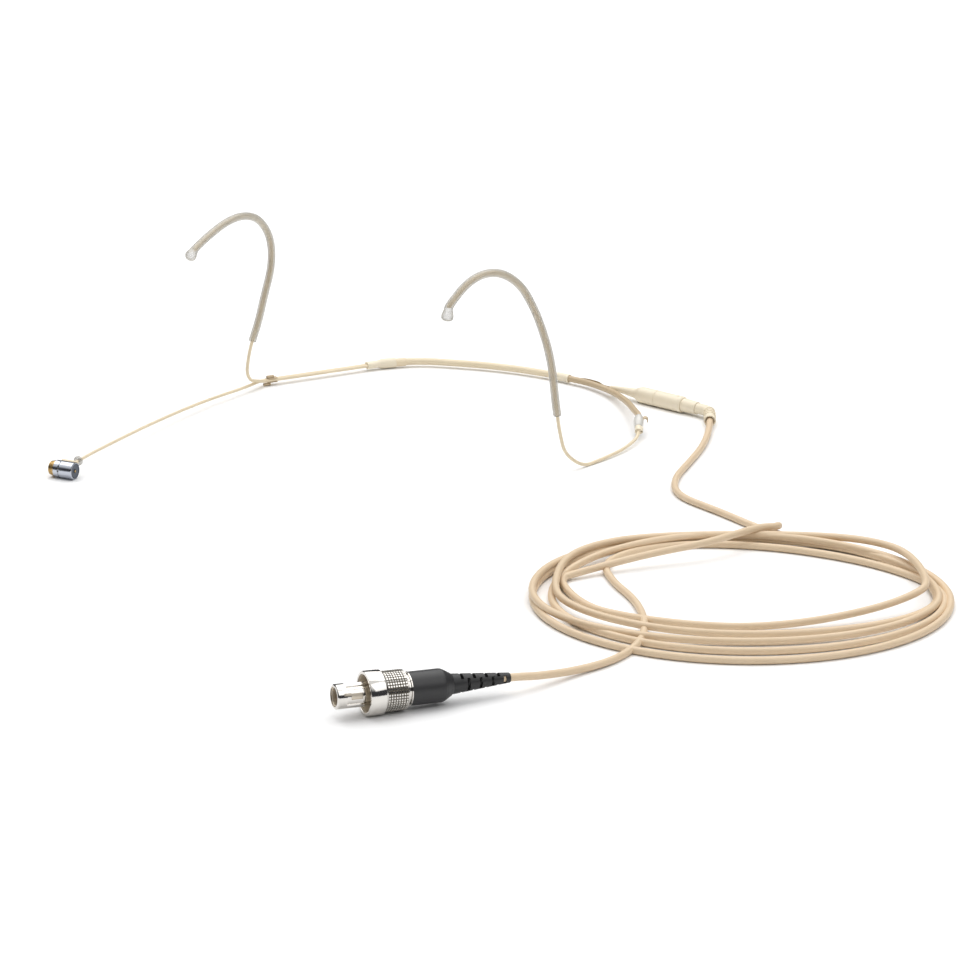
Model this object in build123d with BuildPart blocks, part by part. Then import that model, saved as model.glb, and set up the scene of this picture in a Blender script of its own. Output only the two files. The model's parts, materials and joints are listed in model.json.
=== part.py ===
"""Stage headset microphone with two ear hooks, an in-line connector and a coiled cable.

Millimetres, +Z up. The headset lies on a table at z = 0 with its ear hooks standing up. The wearer
would face -Y, +X is the wearer's left, and the origin is the middle of the headset's footprint.
"""
from build123d import *
import math
import os

os.makedirs("parts", exist_ok=True)

# ---------------------------------------------------------------- driving dimensions

ARC_SHARE = 0.45          # share of the shorter run that each arc of a wire or cable takes
FIT_GAP = 0.04            # radial clearance of a wire that turns in its sleeve
SNUG_GAP = 0.02           # radial clearance of a piece that is pushed on

WIRE_R = 0.40             # ear hook spring wire
BOOM_R = 0.375            # boom tube, outside
BOOM_BORE_R = 0.22
LEAD_R = 0.17             # thin signal lead
CORE_R = 0.27             # spring wire inside the neckband
BAND_R = 0.86             # neckband tube, outside
BAND_BORE_R = 0.58
SOFT_R = 0.76             # soft tube behind the left ear
SOFT_BORE_R = 0.52
SILICONE_R = 0.93         # silicone sleeve on an ear hook
TIP_R = 1.36              # widest place of the drop-shaped tip

BAND_Z = 1.35             # height of the neckband's centre line above the table

CAPSULE_R = 2.00
CAPSULE_BORE_R = 1.75
CAPSULE_LENGTH = 6.40
CAPSULE_CAP_LENGTH = 1.50
VENT_STATION = 2.90       # ring of vents, measured from the cap's end
VENTS = 10

CONNECTOR_R = 1.98        # in-line connector
CONNECTOR_Z = 2.00

CABLE_R = 0.80
COIL_HEIGHT = 3.40

NOSE_R = 2.48             # end plug's nose
COLLAR_R = 4.42           # end plug's release collar
GRIP_R = 4.03             # its knurled part
NUT_R = 3.32              # black rear nut


def turned(origin, direction, outline, mode=Mode.ADD):
    """Add or cut a body of revolution: outline lists (station along the axis, radius)."""
    side = Vector(0, 0, 1)
    with BuildSketch(Plane(origin=origin, x_dir=direction, z_dir=side.cross(direction))) as section:
        with BuildLine() as edge:
            Polyline(*outline, close=True)
        make_face(edge.edges())
    revolve(section.sketch, axis=Axis(origin, direction), mode=mode)


def corner_radii(points):
    """Return one radius per corner, so that each arc takes its share of the shorter run."""
    radii = []
    for before, corner, after in zip(points, points[1:], points[2:]):
        run_in = Vector(*corner) - Vector(*before)
        run_out = Vector(*after) - Vector(*corner)
        half_turn = math.radians(run_in.get_angle(run_out)) / 2
        shorter = min(run_in.length, run_out.length)
        radii.append(ARC_SHARE * shorter / math.tan(half_turn))
    return radii


def swept(points, radii, radius, mode=Mode.ADD):
    """Add or cut a round rod along straight runs joined by tangent arcs, and return its length."""
    with BuildLine() as route:
        FilletPolyline(*points, radius=radii)
    start = Plane(origin=route.line @ 0, z_dir=route.line % 0)
    with BuildSketch(start) as section:
        Circle(radius)
    sweep(section.sketch, path=route.wire(), mode=mode)
    return route.wire().length


def lifted(points, height):
    """Return the same points, higher by height."""
    return [(x, y, z + height) for x, y, z in points]


def between(first, second, share):
    """Return the point a share of the way from one point to another, as a tuple."""
    return tuple(Vector(*first) + (Vector(*second) - Vector(*first)) * share)


# ---------------------------------------------------------------- axes and routes

# right side: boom and hook wire run side by side from the junction sleeve to the far clip
PAIR_START = Vector(-39.8, 44.5, BAND_Z)
PAIR_FORWARD = Vector(-0.368, -0.930, 0).normalized()
PAIR_OUTWARD = Vector(-0.930, 0.368, 0).normalized()
BOOM_SHIFT = 0.45         # boom's distance from the middle of the pair, on the outer side
HOOK_SHIFT = -0.45
BOOM_START = PAIR_START + PAIR_OUTWARD * BOOM_SHIFT
HOOK_START = PAIR_START + PAIR_OUTWARD * HOOK_SHIFT

boom_points = [
    tuple(BOOM_START - PAIR_FORWARD * 3.0),
    tuple(BOOM_START + PAIR_FORWARD * 28.8),
    (-49.3, 9.5, 1.5),
    (-48.4, -2.5, 1.75),
    (-46.4, -15.0, 2.0),
    (-42.5, -31.0, 2.5),
    (-38.2, -45.5, 3.0),
    (-34.9, -56.0, 3.4),
    (-32.35, -63.32, 3.62),
]
boom_radii = corner_radii(boom_points)
boom_radii[0] = 4.5       # the bend just in front of the far clip

far_hook_points = [
    tuple(HOOK_START - PAIR_FORWARD * 5.2),
    tuple(HOOK_START + PAIR_FORWARD * 28.6),
    (-49.4, 10.8, 3.2),
    (-49.5, 12.3, 10.5),
    (-50.4, 16.7, 16.7),
    (-50.9, 19.6, 22.9),
    (-51.5, 23.1, 29.5),
    (-51.4, 22.8, 36.6),
    (-50.6, 18.0, 42.4),
    (-49.4, 11.3, 44.8),
    (-48.2, 4.2, 44.8),
    (-47.0, -2.6, 43.3),
    (-45.7, -9.5, 41.2),
    (-45.2, -12.3, 39.2),
]
far_hook_radii = corner_radii(far_hook_points)
far_hook_radii[0] = 5.0   # the bend just in front of the far clip
FAR_SLEEVE_RUN = 3        # the silicone starts in the middle of this run

# left side: the hook wire comes out of the clip barrel, which slopes down towards the front
BARREL_START = Vector(44.1, 47.4, 3.30)
BARREL_DOWN = Vector(0.592, -0.780, -0.202).normalized()
BARREL_LENGTH = 5.0
END_RING_LENGTH = 2.0

near_hook_points = [
    tuple(BARREL_START + BARREL_DOWN * 2.6),
    tuple(BARREL_START + BARREL_DOWN * 9.8),
    (52.0, 31.5, 0.80),
    (52.5, 23.8, 0.60),
    (52.2, 16.0, 0.30),
    (50.9, 10.9, 4.4),
    (50.75, 9.2, 10.0),
    (50.45, 7.9, 18.0),
    (50.3, 6.8, 26.6),
    (49.9, 4.4, 34.2),
    (49.3, 1.4, 41.0),
    (48.6, -2.7, 47.2),
    (47.5, -9.3, 51.2),
    (46.2, -16.6, 50.7),
    (45.1, -22.9, 45.6),
    (44.9, -23.5, 42.1),
]
near_hook_radii = corner_radii(near_hook_points)
NEAR_SLEEVE_RUN = 6

# neckband, from inside the junction sleeve to inside the rear ferrule
SLEEVE_NECK_LENGTH = 2.6
SLEEVE_WIDE_START = Vector(-38.1, 48.2, BAND_Z)
SLEEVE_WIDE_END = Vector(-36.1, 51.2, BAND_Z)
BAND_FORWARD = (SLEEVE_WIDE_END - SLEEVE_WIDE_START).normalized()
BAND_INSERT = 1.6
FRONT_FERRULE_LENGTH = 2.7
REAR_FERRULE_X = 2.6
REAR_FERRULE_LENGTH = 3.9
REAR_Y = 67.9

band_points = [
    tuple(SLEEVE_WIDE_END - BAND_FORWARD * BAND_INSERT),
    tuple(SLEEVE_WIDE_END + BAND_FORWARD * 3.7),
    (-30.2, 57.6, BAND_Z),
    (-23.5, 61.0, BAND_Z),
    (-15.8, 64.4, BAND_Z),
    (-7.5, 66.7, BAND_Z),
    (0.2, REAR_Y, BAND_Z),
    (4.4, REAR_Y, BAND_Z),
]
band_radii = corner_radii(band_points)
band_radii[0] = 6.0       # the bend just behind the front ferrule

soft_points = [
    (4.8, REAR_Y, BAND_Z),
    (12.8, REAR_Y, 1.45),
    (22.9, 64.6, 1.8),
    (32.2, 58.2, 2.5),
    (39.6, 51.5, 3.3),
    tuple(BARREL_START - BARREL_DOWN * 1.2),
    tuple(BARREL_START + BARREL_DOWN * 2.0),
]
soft_radii = corner_radii(soft_points)

# in-line connector, from the tip of the strain-relief cone
CONNECTOR_TIP = Vector(20.2, 66.8, CONNECTOR_Z)
CONNECTOR_DIR = Vector(1, -0.028, 0).normalized()
CONE_LENGTH = 8.6
SHELL_LENGTH = 6.3
RING_LENGTH = 8.2
BACK_SHELL_LENGTH = 4.2
BOOT_CORNER_STATION = 31.0
BOOT_END = Vector(55.3, 60.6, 1.55)

CORE_LIFT = -0.25         # the band's spring wire lies low in its bore, the lead above it
LEAD_LIFT = 0.36
lead_points = lifted(band_points[:-1], LEAD_LIFT) + [
    (7.4, REAR_Y, BAND_Z + LEAD_LIFT),
    (11.2, 68.8, 2.0),
    (15.6, 68.2, 2.05),
    tuple(CONNECTOR_TIP - CONNECTOR_DIR * 2.4),
    tuple(CONNECTOR_TIP + CONNECTOR_DIR * 10.5),
]
lead_radii = corner_radii(lead_points)

# cable: lead to the coil, the crossing inside the coil, and the tail to the end plug
BOOT_CORNER = CONNECTOR_TIP + CONNECTOR_DIR * BOOT_CORNER_STATION
BOOT_DIR = (BOOT_END - BOOT_CORNER).normalized()
CABLE_INSERT = 2.6
cable_lead_points = [
    tuple(BOOT_END - BOOT_DIR * CABLE_INSERT),
    tuple(BOOT_END + BOOT_DIR * 3.4),
    (64.6, 45.8, 0.82),
    (70.1, 32.8, 0.82),
    (74.8, 21.0, 0.82),
    (83.9, 11.4, 0.82),
    (96.0, 8.2, 0.82),
    (107.6, 4.9, 0.82),
    (115.4, 2.2, 0.82),
]
cable_crossing_points = [
    (98.0, -28.6, 0.82),
    (101.0, -37.1, 0.82),
    (109.5, -44.7, 0.82),
    (119.7, -50.5, 0.82),
    (127.4, -57.8, 0.82),
]

COIL_CENTRE = Vector(133.7, -33.6)
COIL_TURN = 39.9          # degrees from +X to the coil's long axis
COIL_LONG_R = 43.6
COIL_SHORT_R = 40.6
COIL_HOLE_CENTRE = Vector(130.9, -28.0)
COIL_HOLE_LONG_R = 34.0
COIL_HOLE_SHORT_R = 24.4
COIL_EDGE_R = 0.8

# end plug, from the thin end of the bend relief to the nose
PLUG_REAR = Vector(132.7, -107.6, 3.37)
PLUG_DIR = Vector(-0.461, -0.887, 0.035).normalized()
RELIEF_LENGTH = 12.3
NUT_SHOULDER = 14.5
NUT_END = 21.3
RIM_END = 21.5
COLLAR_START = 22.2
GRIP_END = 26.7
COLLAR_END = 30.3
NOSE_RING_START = 34.5
NOSE_END = 36.4
COLLAR_TRAVEL = 0.6

cable_tail_points = [
    (135.6, -71.0, 0.82),
    (137.7, -79.6, 0.82),
    (136.4, -89.9, 1.15),
    tuple(PLUG_REAR - PLUG_DIR * 4.6),
    tuple(PLUG_REAR + PLUG_DIR * 3.4),
]

# ---------------------------------------------------------------- capsule

CAPSULE_DIR = Vector(0.970, 0.242, 0).normalized()
CAPSULE_BACK = Vector(-0.242, 0.970, 0).normalized()
CAPSULE_START = Vector(-37.3, -66.8, CAPSULE_R)
FACE_RECESS = 0.12
FACE_THICKNESS = 0.35
PIN_R = 0.24
WALL_GAP = 0.015          # between the housing's bore and the pieces stacked in it


def capsule_disc(start, end, radius, bore=0.0):
    """Add a disc or ring of the capsule's stack between two stations."""
    turned(CAPSULE_START, CAPSULE_DIR, [(start, bore), (end, bore), (end, radius), (start, radius)])


def capsule_holes(station, radius, count, phase):
    """Cut a ring of radial holes round the capsule's axis."""
    plane = Plane(
        origin=CAPSULE_START + CAPSULE_DIR * station, x_dir=CAPSULE_BACK, z_dir=CAPSULE_DIR
    )
    for index in range(count):
        angle = math.radians(phase + 360 * index / count)
        outward = plane.x_dir * math.cos(angle) + plane.y_dir * math.sin(angle)
        with BuildSketch(Plane(origin=plane.origin, z_dir=outward)) as hole:
            Circle(radius)
        extrude(hole.sketch, amount=CAPSULE_R + 1, mode=Mode.SUBTRACT)


with BuildPart() as capsule_housing:
    turned(CAPSULE_START, CAPSULE_DIR, [
        (CAPSULE_CAP_LENGTH, CAPSULE_BORE_R),
        (CAPSULE_LENGTH, CAPSULE_BORE_R),
        (CAPSULE_LENGTH, CAPSULE_R - 0.16),
        (CAPSULE_LENGTH - 0.12, CAPSULE_R),
        (CAPSULE_CAP_LENGTH + 0.05, CAPSULE_R),
        (CAPSULE_CAP_LENGTH, CAPSULE_R - 0.05),
    ])
    capsule_holes(VENT_STATION, 0.22, VENTS, 0)
    capsule_holes(VENT_STATION, 0.13, VENTS, 180 / VENTS)
capsule_housing.part.label = "capsule_housing"
export_step(capsule_housing.part, "parts/capsule_housing.step")

with BuildPart() as capsule_rear_cap:
    turned(CAPSULE_START, CAPSULE_DIR, [
        (0.35, 0),
        (0.35, 1.10),
        (0.0, 1.25),
        (0.0, 1.45),
        (0.12, 1.62),
        (0.45, 1.68),
        (0.50, 1.60),
        (0.58, 1.60),
        (0.63, 1.76),
        (0.90, 1.80),
        (0.95, 1.72),
        (1.03, 1.72),
        (1.08, 1.86),
        (1.42, 1.88),
        (CAPSULE_CAP_LENGTH - SNUG_GAP, 1.80),
        (CAPSULE_CAP_LENGTH - SNUG_GAP, CAPSULE_BORE_R - WALL_GAP),
        (1.90, CAPSULE_BORE_R - WALL_GAP),
        (1.90, 0),
    ])
capsule_rear_cap.part.label = "capsule_rear_cap"
export_step(capsule_rear_cap.part, "parts/capsule_rear_cap.step")

STACK_R = CAPSULE_BORE_R - WALL_GAP

with BuildPart() as capsule_vent_ring:
    capsule_disc(2.30, 3.50, STACK_R, 1.45)
    capsule_holes(VENT_STATION, 0.22, VENTS, 0)
capsule_vent_ring.part.label = "capsule_vent_ring"
export_step(capsule_vent_ring.part, "parts/capsule_vent_ring.step")

with BuildPart() as capsule_diaphragm_ring:
    capsule_disc(3.52, 3.80, STACK_R, 1.35)
capsule_diaphragm_ring.part.label = "capsule_diaphragm_ring"
export_step(capsule_diaphragm_ring.part, "parts/capsule_diaphragm_ring.step")

with BuildPart() as capsule_diaphragm:
    capsule_disc(3.82, 3.87, STACK_R)
capsule_diaphragm.part.label = "capsule_diaphragm"
export_step(capsule_diaphragm.part, "parts/capsule_diaphragm.step")

with BuildPart() as capsule_spacer:
    capsule_disc(3.89, 3.99, STACK_R, 1.40)
capsule_spacer.part.label = "capsule_spacer"
export_step(capsule_spacer.part, "parts/capsule_spacer.step")

with BuildPart() as capsule_backplate:
    capsule_disc(4.01, 4.35, 1.38)
capsule_backplate.part.label = "capsule_backplate"
export_step(capsule_backplate.part, "parts/capsule_backplate.step")

with BuildPart() as capsule_insulator:
    capsule_disc(4.01, 5.10, STACK_R, 1.40)
capsule_insulator.part.label = "capsule_insulator"
export_step(capsule_insulator.part, "parts/capsule_insulator.step")

with BuildPart() as capsule_board:
    capsule_disc(5.12, 5.50, STACK_R)
capsule_board.part.label = "capsule_board"
export_step(capsule_board.part, "parts/capsule_board.step")

FACE_START = CAPSULE_LENGTH - FACE_RECESS - FACE_THICKNESS

with BuildPart() as capsule_face_plate:
    capsule_disc(FACE_START, FACE_START + FACE_THICKNESS, STACK_R, PIN_R + SNUG_GAP)
capsule_face_plate.part.label = "capsule_face_plate"
export_step(capsule_face_plate.part, "parts/capsule_face_plate.step")

with BuildPart() as capsule_centre_pin:
    capsule_disc(5.52, FACE_START + FACE_THICKNESS - 0.10, PIN_R)
capsule_centre_pin.part.label = "capsule_centre_pin"
export_step(capsule_centre_pin.part, "parts/capsule_centre_pin.step")

# ---------------------------------------------------------------- boom

ARM_R = 0.45
ARM_DISTANCE = 2.25       # from the capsule's axis to the arm's centre line
ARM_RISE = 52             # degrees round the capsule, from straight up towards the back
ARM_LINE = (
    CAPSULE_START
    + CAPSULE_BACK * ARM_DISTANCE * math.sin(math.radians(ARM_RISE))
    + Vector(0, 0, ARM_DISTANCE * math.cos(math.radians(ARM_RISE)))
)
ARM_CORNER = ARM_LINE + CAPSULE_DIR * 5.64
BOOM_TIP = Vector(*boom_points[-1])
BOOM_TIP_DIR = (BOOM_TIP - Vector(*boom_points[-2])).normalized()

with BuildPart() as capsule_arm:
    turned(ARM_LINE + CAPSULE_DIR * 1.9, CAPSULE_DIR, [(0, 0), (0, ARM_R), (3.74, ARM_R), (3.74, 0)])
    with Locations(ARM_CORNER):
        Sphere(ARM_R + 0.05)
    turned(ARM_CORNER, BOOM_TIP - ARM_CORNER, [(0, 0), (0, ARM_R - 0.04), (0.6, ARM_R - 0.04), (0.6, 0)])
    turned(BOOM_TIP, -BOOM_TIP_DIR, [(-0.02, 0), (-0.02, 0.8), (1.0, 0.8), (1.0, 0)], mode=Mode.SUBTRACT)
    with BuildSketch(Plane(origin=CAPSULE_START, z_dir=CAPSULE_DIR)) as capsule_round:
        Circle(CAPSULE_R + 0.01)
    extrude(capsule_round.sketch, amount=CAPSULE_LENGTH + 1, mode=Mode.SUBTRACT)
capsule_arm.part.label = "capsule_arm"
export_step(capsule_arm.part, "parts/capsule_arm.step")

COLLAR_BACK = 1.0         # how far the clear collar reaches back along the boom

with BuildPart() as boom_collar:
    turned(BOOM_TIP - BOOM_TIP_DIR * COLLAR_BACK, BOOM_TIP_DIR, [
        (0.00, BOOM_R + SNUG_GAP),
        (0.00, 0.80),
        (0.12, 1.00),
        (0.36, 1.12),
        (0.60, 1.12),
        (0.84, 1.00),
        (0.96, 0.80),
        (0.96, BOOM_R + SNUG_GAP),
    ])
boom_collar.part.label = "boom_collar"
export_step(boom_collar.part, "parts/boom_collar.step")

with BuildPart() as boom_tube:
    swept(boom_points, boom_radii, BOOM_R)
    swept(boom_points, boom_radii, BOOM_BORE_R, mode=Mode.SUBTRACT)
boom_tube.part.label = "boom_tube"
export_step(boom_tube.part, "parts/boom_tube.step")

with BuildPart() as boom_lead:
    swept(boom_points, boom_radii, LEAD_R)
boom_lead.part.label = "boom_lead"
export_step(boom_lead.part, "parts/boom_lead.step")

# ---------------------------------------------------------------- ear hooks


def hook_sleeve(points, radii, run):
    """Add a silicone sleeve with a drop-shaped tip from the middle of a run to the last point."""
    start = between(points[run], points[run + 1], 0.5)
    tip = Vector(*points[-1])
    tip_dir = (tip - Vector(*points[-2])).normalized()
    swept([start] + points[run + 1:-1] + [tuple(tip - tip_dir * 1.5)], radii[run:], SILICONE_R)
    turned(tip - tip_dir * 3.0, tip_dir, [
        (0.0, 0),
        (0.0, SILICONE_R - 0.03),
        (0.6, 1.05),
        (1.1, 1.21),
        (1.6, TIP_R - 0.03),
        (2.0, TIP_R),
        (2.4, TIP_R - 0.06),
        (2.7, 1.08),
        (2.86, 0.78),
        (2.93, 0.40),
        (2.95, 0),
    ])


def wire_in_sleeve(points, radii, run, reach):
    """Cut the wire's bore out of a silicone sleeve: reach is how far along the last run but one it goes."""
    start = between(points[run], points[run + 1], 0.5)
    end = between(points[-3], points[-2], reach)
    swept([start] + points[run + 1:-2] + [end], radii[run:-1], WIRE_R + SNUG_GAP, mode=Mode.SUBTRACT)


WIRE_REACH = 0.75         # both wires stop this far along the last run but one

with BuildPart() as far_hook_wire:
    swept(
        far_hook_points[:-2] + [between(far_hook_points[-3], far_hook_points[-2], WIRE_REACH)],
        far_hook_radii[:-1],
        WIRE_R,
    )
far_hook_wire.part.label = "far_hook_wire"
export_step(far_hook_wire.part, "parts/far_hook_wire.step")

with BuildPart() as far_hook_sleeve:
    hook_sleeve(far_hook_points, far_hook_radii, FAR_SLEEVE_RUN)
    wire_in_sleeve(far_hook_points, far_hook_radii, FAR_SLEEVE_RUN, WIRE_REACH)
far_hook_sleeve.part.label = "far_hook_sleeve"
export_step(far_hook_sleeve.part, "parts/far_hook_sleeve.step")

with BuildPart() as near_hook_wire:
    swept(
        near_hook_points[:-2] + [between(near_hook_points[-3], near_hook_points[-2], WIRE_REACH)],
        near_hook_radii[:-1],
        WIRE_R,
    )
near_hook_wire.part.label = "near_hook_wire"
export_step(near_hook_wire.part, "parts/near_hook_wire.step")

with BuildPart() as near_hook_sleeve:
    hook_sleeve(near_hook_points, near_hook_radii, NEAR_SLEEVE_RUN)
    wire_in_sleeve(near_hook_points, near_hook_radii, NEAR_SLEEVE_RUN, WIRE_REACH)
near_hook_sleeve.part.label = "near_hook_sleeve"
export_step(near_hook_sleeve.part, "parts/near_hook_sleeve.step")

# ---------------------------------------------------------------- far clip

CLIP_FRONT = 27.4         # distance of the clip's front end from the junction sleeve
CLIP_LENGTH = 2.4
CLIP_WALL = 0.18
CLIP_MOUTH = 0.92         # height of the open side, as a share of the space for the wires
LIP_R = 0.38
LIP_BORE_R = 0.23
LIP_HEIGHT = 0.90
LIP_LENGTH = 1.8
PAIR_WIDTH = 2 * (BOOM_SHIFT + WIRE_R + FIT_GAP)
PAIR_HEIGHT = 2 * (WIRE_R + FIT_GAP)


def pair_plane(distance, height=0.0, side=0.0):
    """Return the plane across the wire pair at a distance in front of the junction sleeve."""
    place = PAIR_START + PAIR_FORWARD * distance + PAIR_OUTWARD * side + Vector(0, 0, height)
    return Plane(origin=place, x_dir=PAIR_OUTWARD, z_dir=-PAIR_FORWARD)


with BuildPart() as far_clip:
    with BuildSketch(pair_plane(CLIP_FRONT)):
        SlotOverall(PAIR_WIDTH + 2 * CLIP_WALL, PAIR_HEIGHT + 2 * CLIP_WALL)
    extrude(amount=CLIP_LENGTH)
    for front, side, height in [(0.3, -0.30, LIP_HEIGHT), (1.2, -0.30, -LIP_HEIGHT)]:
        with BuildSketch(pair_plane(CLIP_FRONT + front, height, side)):
            Circle(LIP_R)
        extrude(amount=LIP_LENGTH)
    for front, side, height in [(0.3, -0.30, LIP_HEIGHT), (1.2, -0.30, -LIP_HEIGHT)]:
        with BuildSketch(pair_plane(CLIP_FRONT + front, height, side)):
            Circle(LIP_BORE_R)
        extrude(amount=LIP_LENGTH, mode=Mode.SUBTRACT)
    with BuildSketch(pair_plane(CLIP_FRONT + 1)):
        SlotOverall(PAIR_WIDTH, PAIR_HEIGHT)
        with Locations((-PAIR_WIDTH / 2 - 0.4, 0)):
            Rectangle(1.6, PAIR_HEIGHT * CLIP_MOUTH)
    extrude(amount=CLIP_LENGTH + 2, mode=Mode.SUBTRACT)
far_clip.part.label = "far_clip"
export_step(far_clip.part, "parts/far_clip.step")

# ---------------------------------------------------------------- junction sleeve and neckband

SLEEVE_NECK_WIDTH = 2.30
SLEEVE_NECK_HEIGHT = 1.66
SLEEVE_WIDE_R = 1.24

with BuildPart() as junction_sleeve:
    neck_end = PAIR_START - PAIR_FORWARD * SLEEVE_NECK_LENGTH
    with BuildSketch(Plane(origin=PAIR_START, x_dir=PAIR_OUTWARD, z_dir=-PAIR_FORWARD)):
        SlotOverall(SLEEVE_NECK_WIDTH, SLEEVE_NECK_HEIGHT)
    extrude(amount=SLEEVE_NECK_LENGTH)
    with BuildSketch(Plane(origin=neck_end, x_dir=PAIR_OUTWARD, z_dir=-PAIR_FORWARD)):
        Ellipse(SLEEVE_NECK_WIDTH / 2 - 0.04, SLEEVE_NECK_HEIGHT / 2 - 0.04)
    with BuildSketch(Plane(origin=SLEEVE_WIDE_START, x_dir=PAIR_OUTWARD, z_dir=BAND_FORWARD)):
        Ellipse(SLEEVE_WIDE_R - 0.04, SLEEVE_WIDE_R - 0.05)
    loft()
    with BuildSketch(Plane(origin=SLEEVE_WIDE_START, z_dir=BAND_FORWARD)):
        Circle(SLEEVE_WIDE_R)
    extrude(amount=(SLEEVE_WIDE_END - SLEEVE_WIDE_START).length)
    with BuildSketch(Plane(origin=BOOM_START + PAIR_FORWARD, z_dir=-PAIR_FORWARD)):
        Circle(BOOM_R + FIT_GAP)
    extrude(amount=4.3, mode=Mode.SUBTRACT)
    with BuildSketch(Plane(origin=HOOK_START + PAIR_FORWARD, z_dir=-PAIR_FORWARD)):
        Circle(WIRE_R + FIT_GAP)
    extrude(amount=6.4, mode=Mode.SUBTRACT)
    with BuildSketch(Plane(origin=band_points[0], z_dir=BAND_FORWARD)):
        Circle(BAND_R + SNUG_GAP)
    extrude(amount=BAND_INSERT + 1, mode=Mode.SUBTRACT)
junction_sleeve.part.label = "junction_sleeve"
export_step(junction_sleeve.part, "parts/junction_sleeve.step")

with BuildPart() as front_ferrule:
    turned(SLEEVE_WIDE_END, BAND_FORWARD, [
        (0.06, BAND_R + SNUG_GAP),
        (0.06, 0.98),
        (0.16, 1.03),
        (FRONT_FERRULE_LENGTH - 0.12, 1.03),
        (FRONT_FERRULE_LENGTH, 0.96),
        (FRONT_FERRULE_LENGTH, BAND_R + SNUG_GAP),
    ])
front_ferrule.part.label = "front_ferrule"
export_step(front_ferrule.part, "parts/front_ferrule.step")

with BuildPart() as band_tube:
    swept(band_points, band_radii, BAND_R)
    swept(band_points, band_radii, BAND_BORE_R, mode=Mode.SUBTRACT)
band_tube.part.label = "band_tube"
export_step(band_tube.part, "parts/band_tube.step")

with BuildPart() as band_core:
    swept(lifted(band_points, CORE_LIFT), band_radii, CORE_R)
band_core.part.label = "band_core"
export_step(band_core.part, "parts/band_core.step")

with BuildPart() as rear_ferrule:
    turned(Vector(REAR_FERRULE_X, REAR_Y, BAND_Z), Vector(1, 0, 0), [
        (0.00, BAND_R + SNUG_GAP),
        (0.00, 0.96),
        (0.10, 1.01),
        (REAR_FERRULE_LENGTH - 0.75, 1.01),
        (REAR_FERRULE_LENGTH - 0.70, 0.95),
        (REAR_FERRULE_LENGTH - 0.62, 0.95),
        (REAR_FERRULE_LENGTH - 0.57, 1.03),
        (REAR_FERRULE_LENGTH, 1.03),
        (REAR_FERRULE_LENGTH, SOFT_R + SNUG_GAP),
        (2.0, SOFT_R + SNUG_GAP),
        (2.0, BAND_R + SNUG_GAP),
    ])
rear_ferrule.part.label = "rear_ferrule"
export_step(rear_ferrule.part, "parts/rear_ferrule.step")

with BuildPart() as rear_soft_tube:
    swept(soft_points, soft_radii, SOFT_R)
    swept(soft_points, soft_radii, SOFT_BORE_R, mode=Mode.SUBTRACT)
    swept(lead_points[6:], lead_radii[6:], LEAD_R + 0.05, mode=Mode.SUBTRACT)
rear_soft_tube.part.label = "rear_soft_tube"
export_step(rear_soft_tube.part, "parts/rear_soft_tube.step")

with BuildPart() as signal_lead:
    swept(lead_points, lead_radii, LEAD_R)
signal_lead.part.label = "signal_lead"
export_step(signal_lead.part, "parts/signal_lead.step")

# ---------------------------------------------------------------- near clip

with BuildPart() as near_clip_barrel:
    turned(BARREL_START, BARREL_DOWN, [
        (0.0, SOFT_R + SNUG_GAP),
        (0.0, 0.98),
        (0.5, 1.10),
        (1.8, 1.20),
        (3.2, 1.18),
        (4.4, 1.05),
        (BARREL_LENGTH, 0.92),
        (BARREL_LENGTH, WIRE_R + FIT_GAP),
        (2.3, WIRE_R + FIT_GAP),
        (2.3, SOFT_R + SNUG_GAP),
    ])
near_clip_barrel.part.label = "near_clip_barrel"
export_step(near_clip_barrel.part, "parts/near_clip_barrel.step")

END_TUBE_R = 0.34
END_TUBE_SHIFT = 0.62     # the short side tube beside the wire

with BuildPart() as near_end_ring:
    ring_start = BARREL_START + BARREL_DOWN * (BARREL_LENGTH + SNUG_GAP)
    ring_plane = Plane(origin=ring_start, x_dir=(0.797, 0.604, 0), z_dir=BARREL_DOWN)
    with BuildSketch(ring_plane):
        Circle(0.86)
        with Locations((END_TUBE_SHIFT, 0)):
            Circle(END_TUBE_R + 0.12)
    extrude(amount=END_RING_LENGTH)
    with BuildSketch(ring_plane):
        Circle(WIRE_R + FIT_GAP)
    extrude(amount=END_RING_LENGTH, mode=Mode.SUBTRACT)
    with BuildSketch(ring_plane.offset(END_RING_LENGTH - 0.9)):
        with Locations((END_TUBE_SHIFT + 0.17, 0)):
            Circle(0.24)
    extrude(amount=0.9, mode=Mode.SUBTRACT)
near_end_ring.part.label = "near_end_ring"
export_step(near_end_ring.part, "parts/near_end_ring.step")

HOOK_LIP_R = 0.72
HOOK_LIP_WALL = 0.24

with BuildPart() as cable_keeper:
    keeper_plane = Plane(
        origin=BARREL_START + BARREL_DOWN * 0.7, x_dir=(0.797, 0.604, 0), z_dir=BARREL_DOWN
    )
    with BuildSketch(keeper_plane):
        with Locations((0.80 + HOOK_LIP_R, 0.10)):
            Circle(HOOK_LIP_R)
            Circle(HOOK_LIP_R - HOOK_LIP_WALL, mode=Mode.SUBTRACT)
            with Locations((-HOOK_LIP_R * 0.5, -HOOK_LIP_R * 1.1)):
                Rectangle(2.2 * HOOK_LIP_R, 2.0 * HOOK_LIP_R, mode=Mode.SUBTRACT)
            with Locations((0, -HOOK_LIP_R * 1.6)):
                Rectangle(3.0 * HOOK_LIP_R, 2.0 * HOOK_LIP_R, mode=Mode.SUBTRACT)
    extrude(amount=1.1)
    with BuildSketch(Plane(origin=BARREL_START, z_dir=BARREL_DOWN)):
        Circle(1.22)
    extrude(amount=4, mode=Mode.SUBTRACT)
cable_keeper.part.label = "cable_keeper"
export_step(cable_keeper.part, "parts/cable_keeper.step")

# ---------------------------------------------------------------- in-line connector

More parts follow.
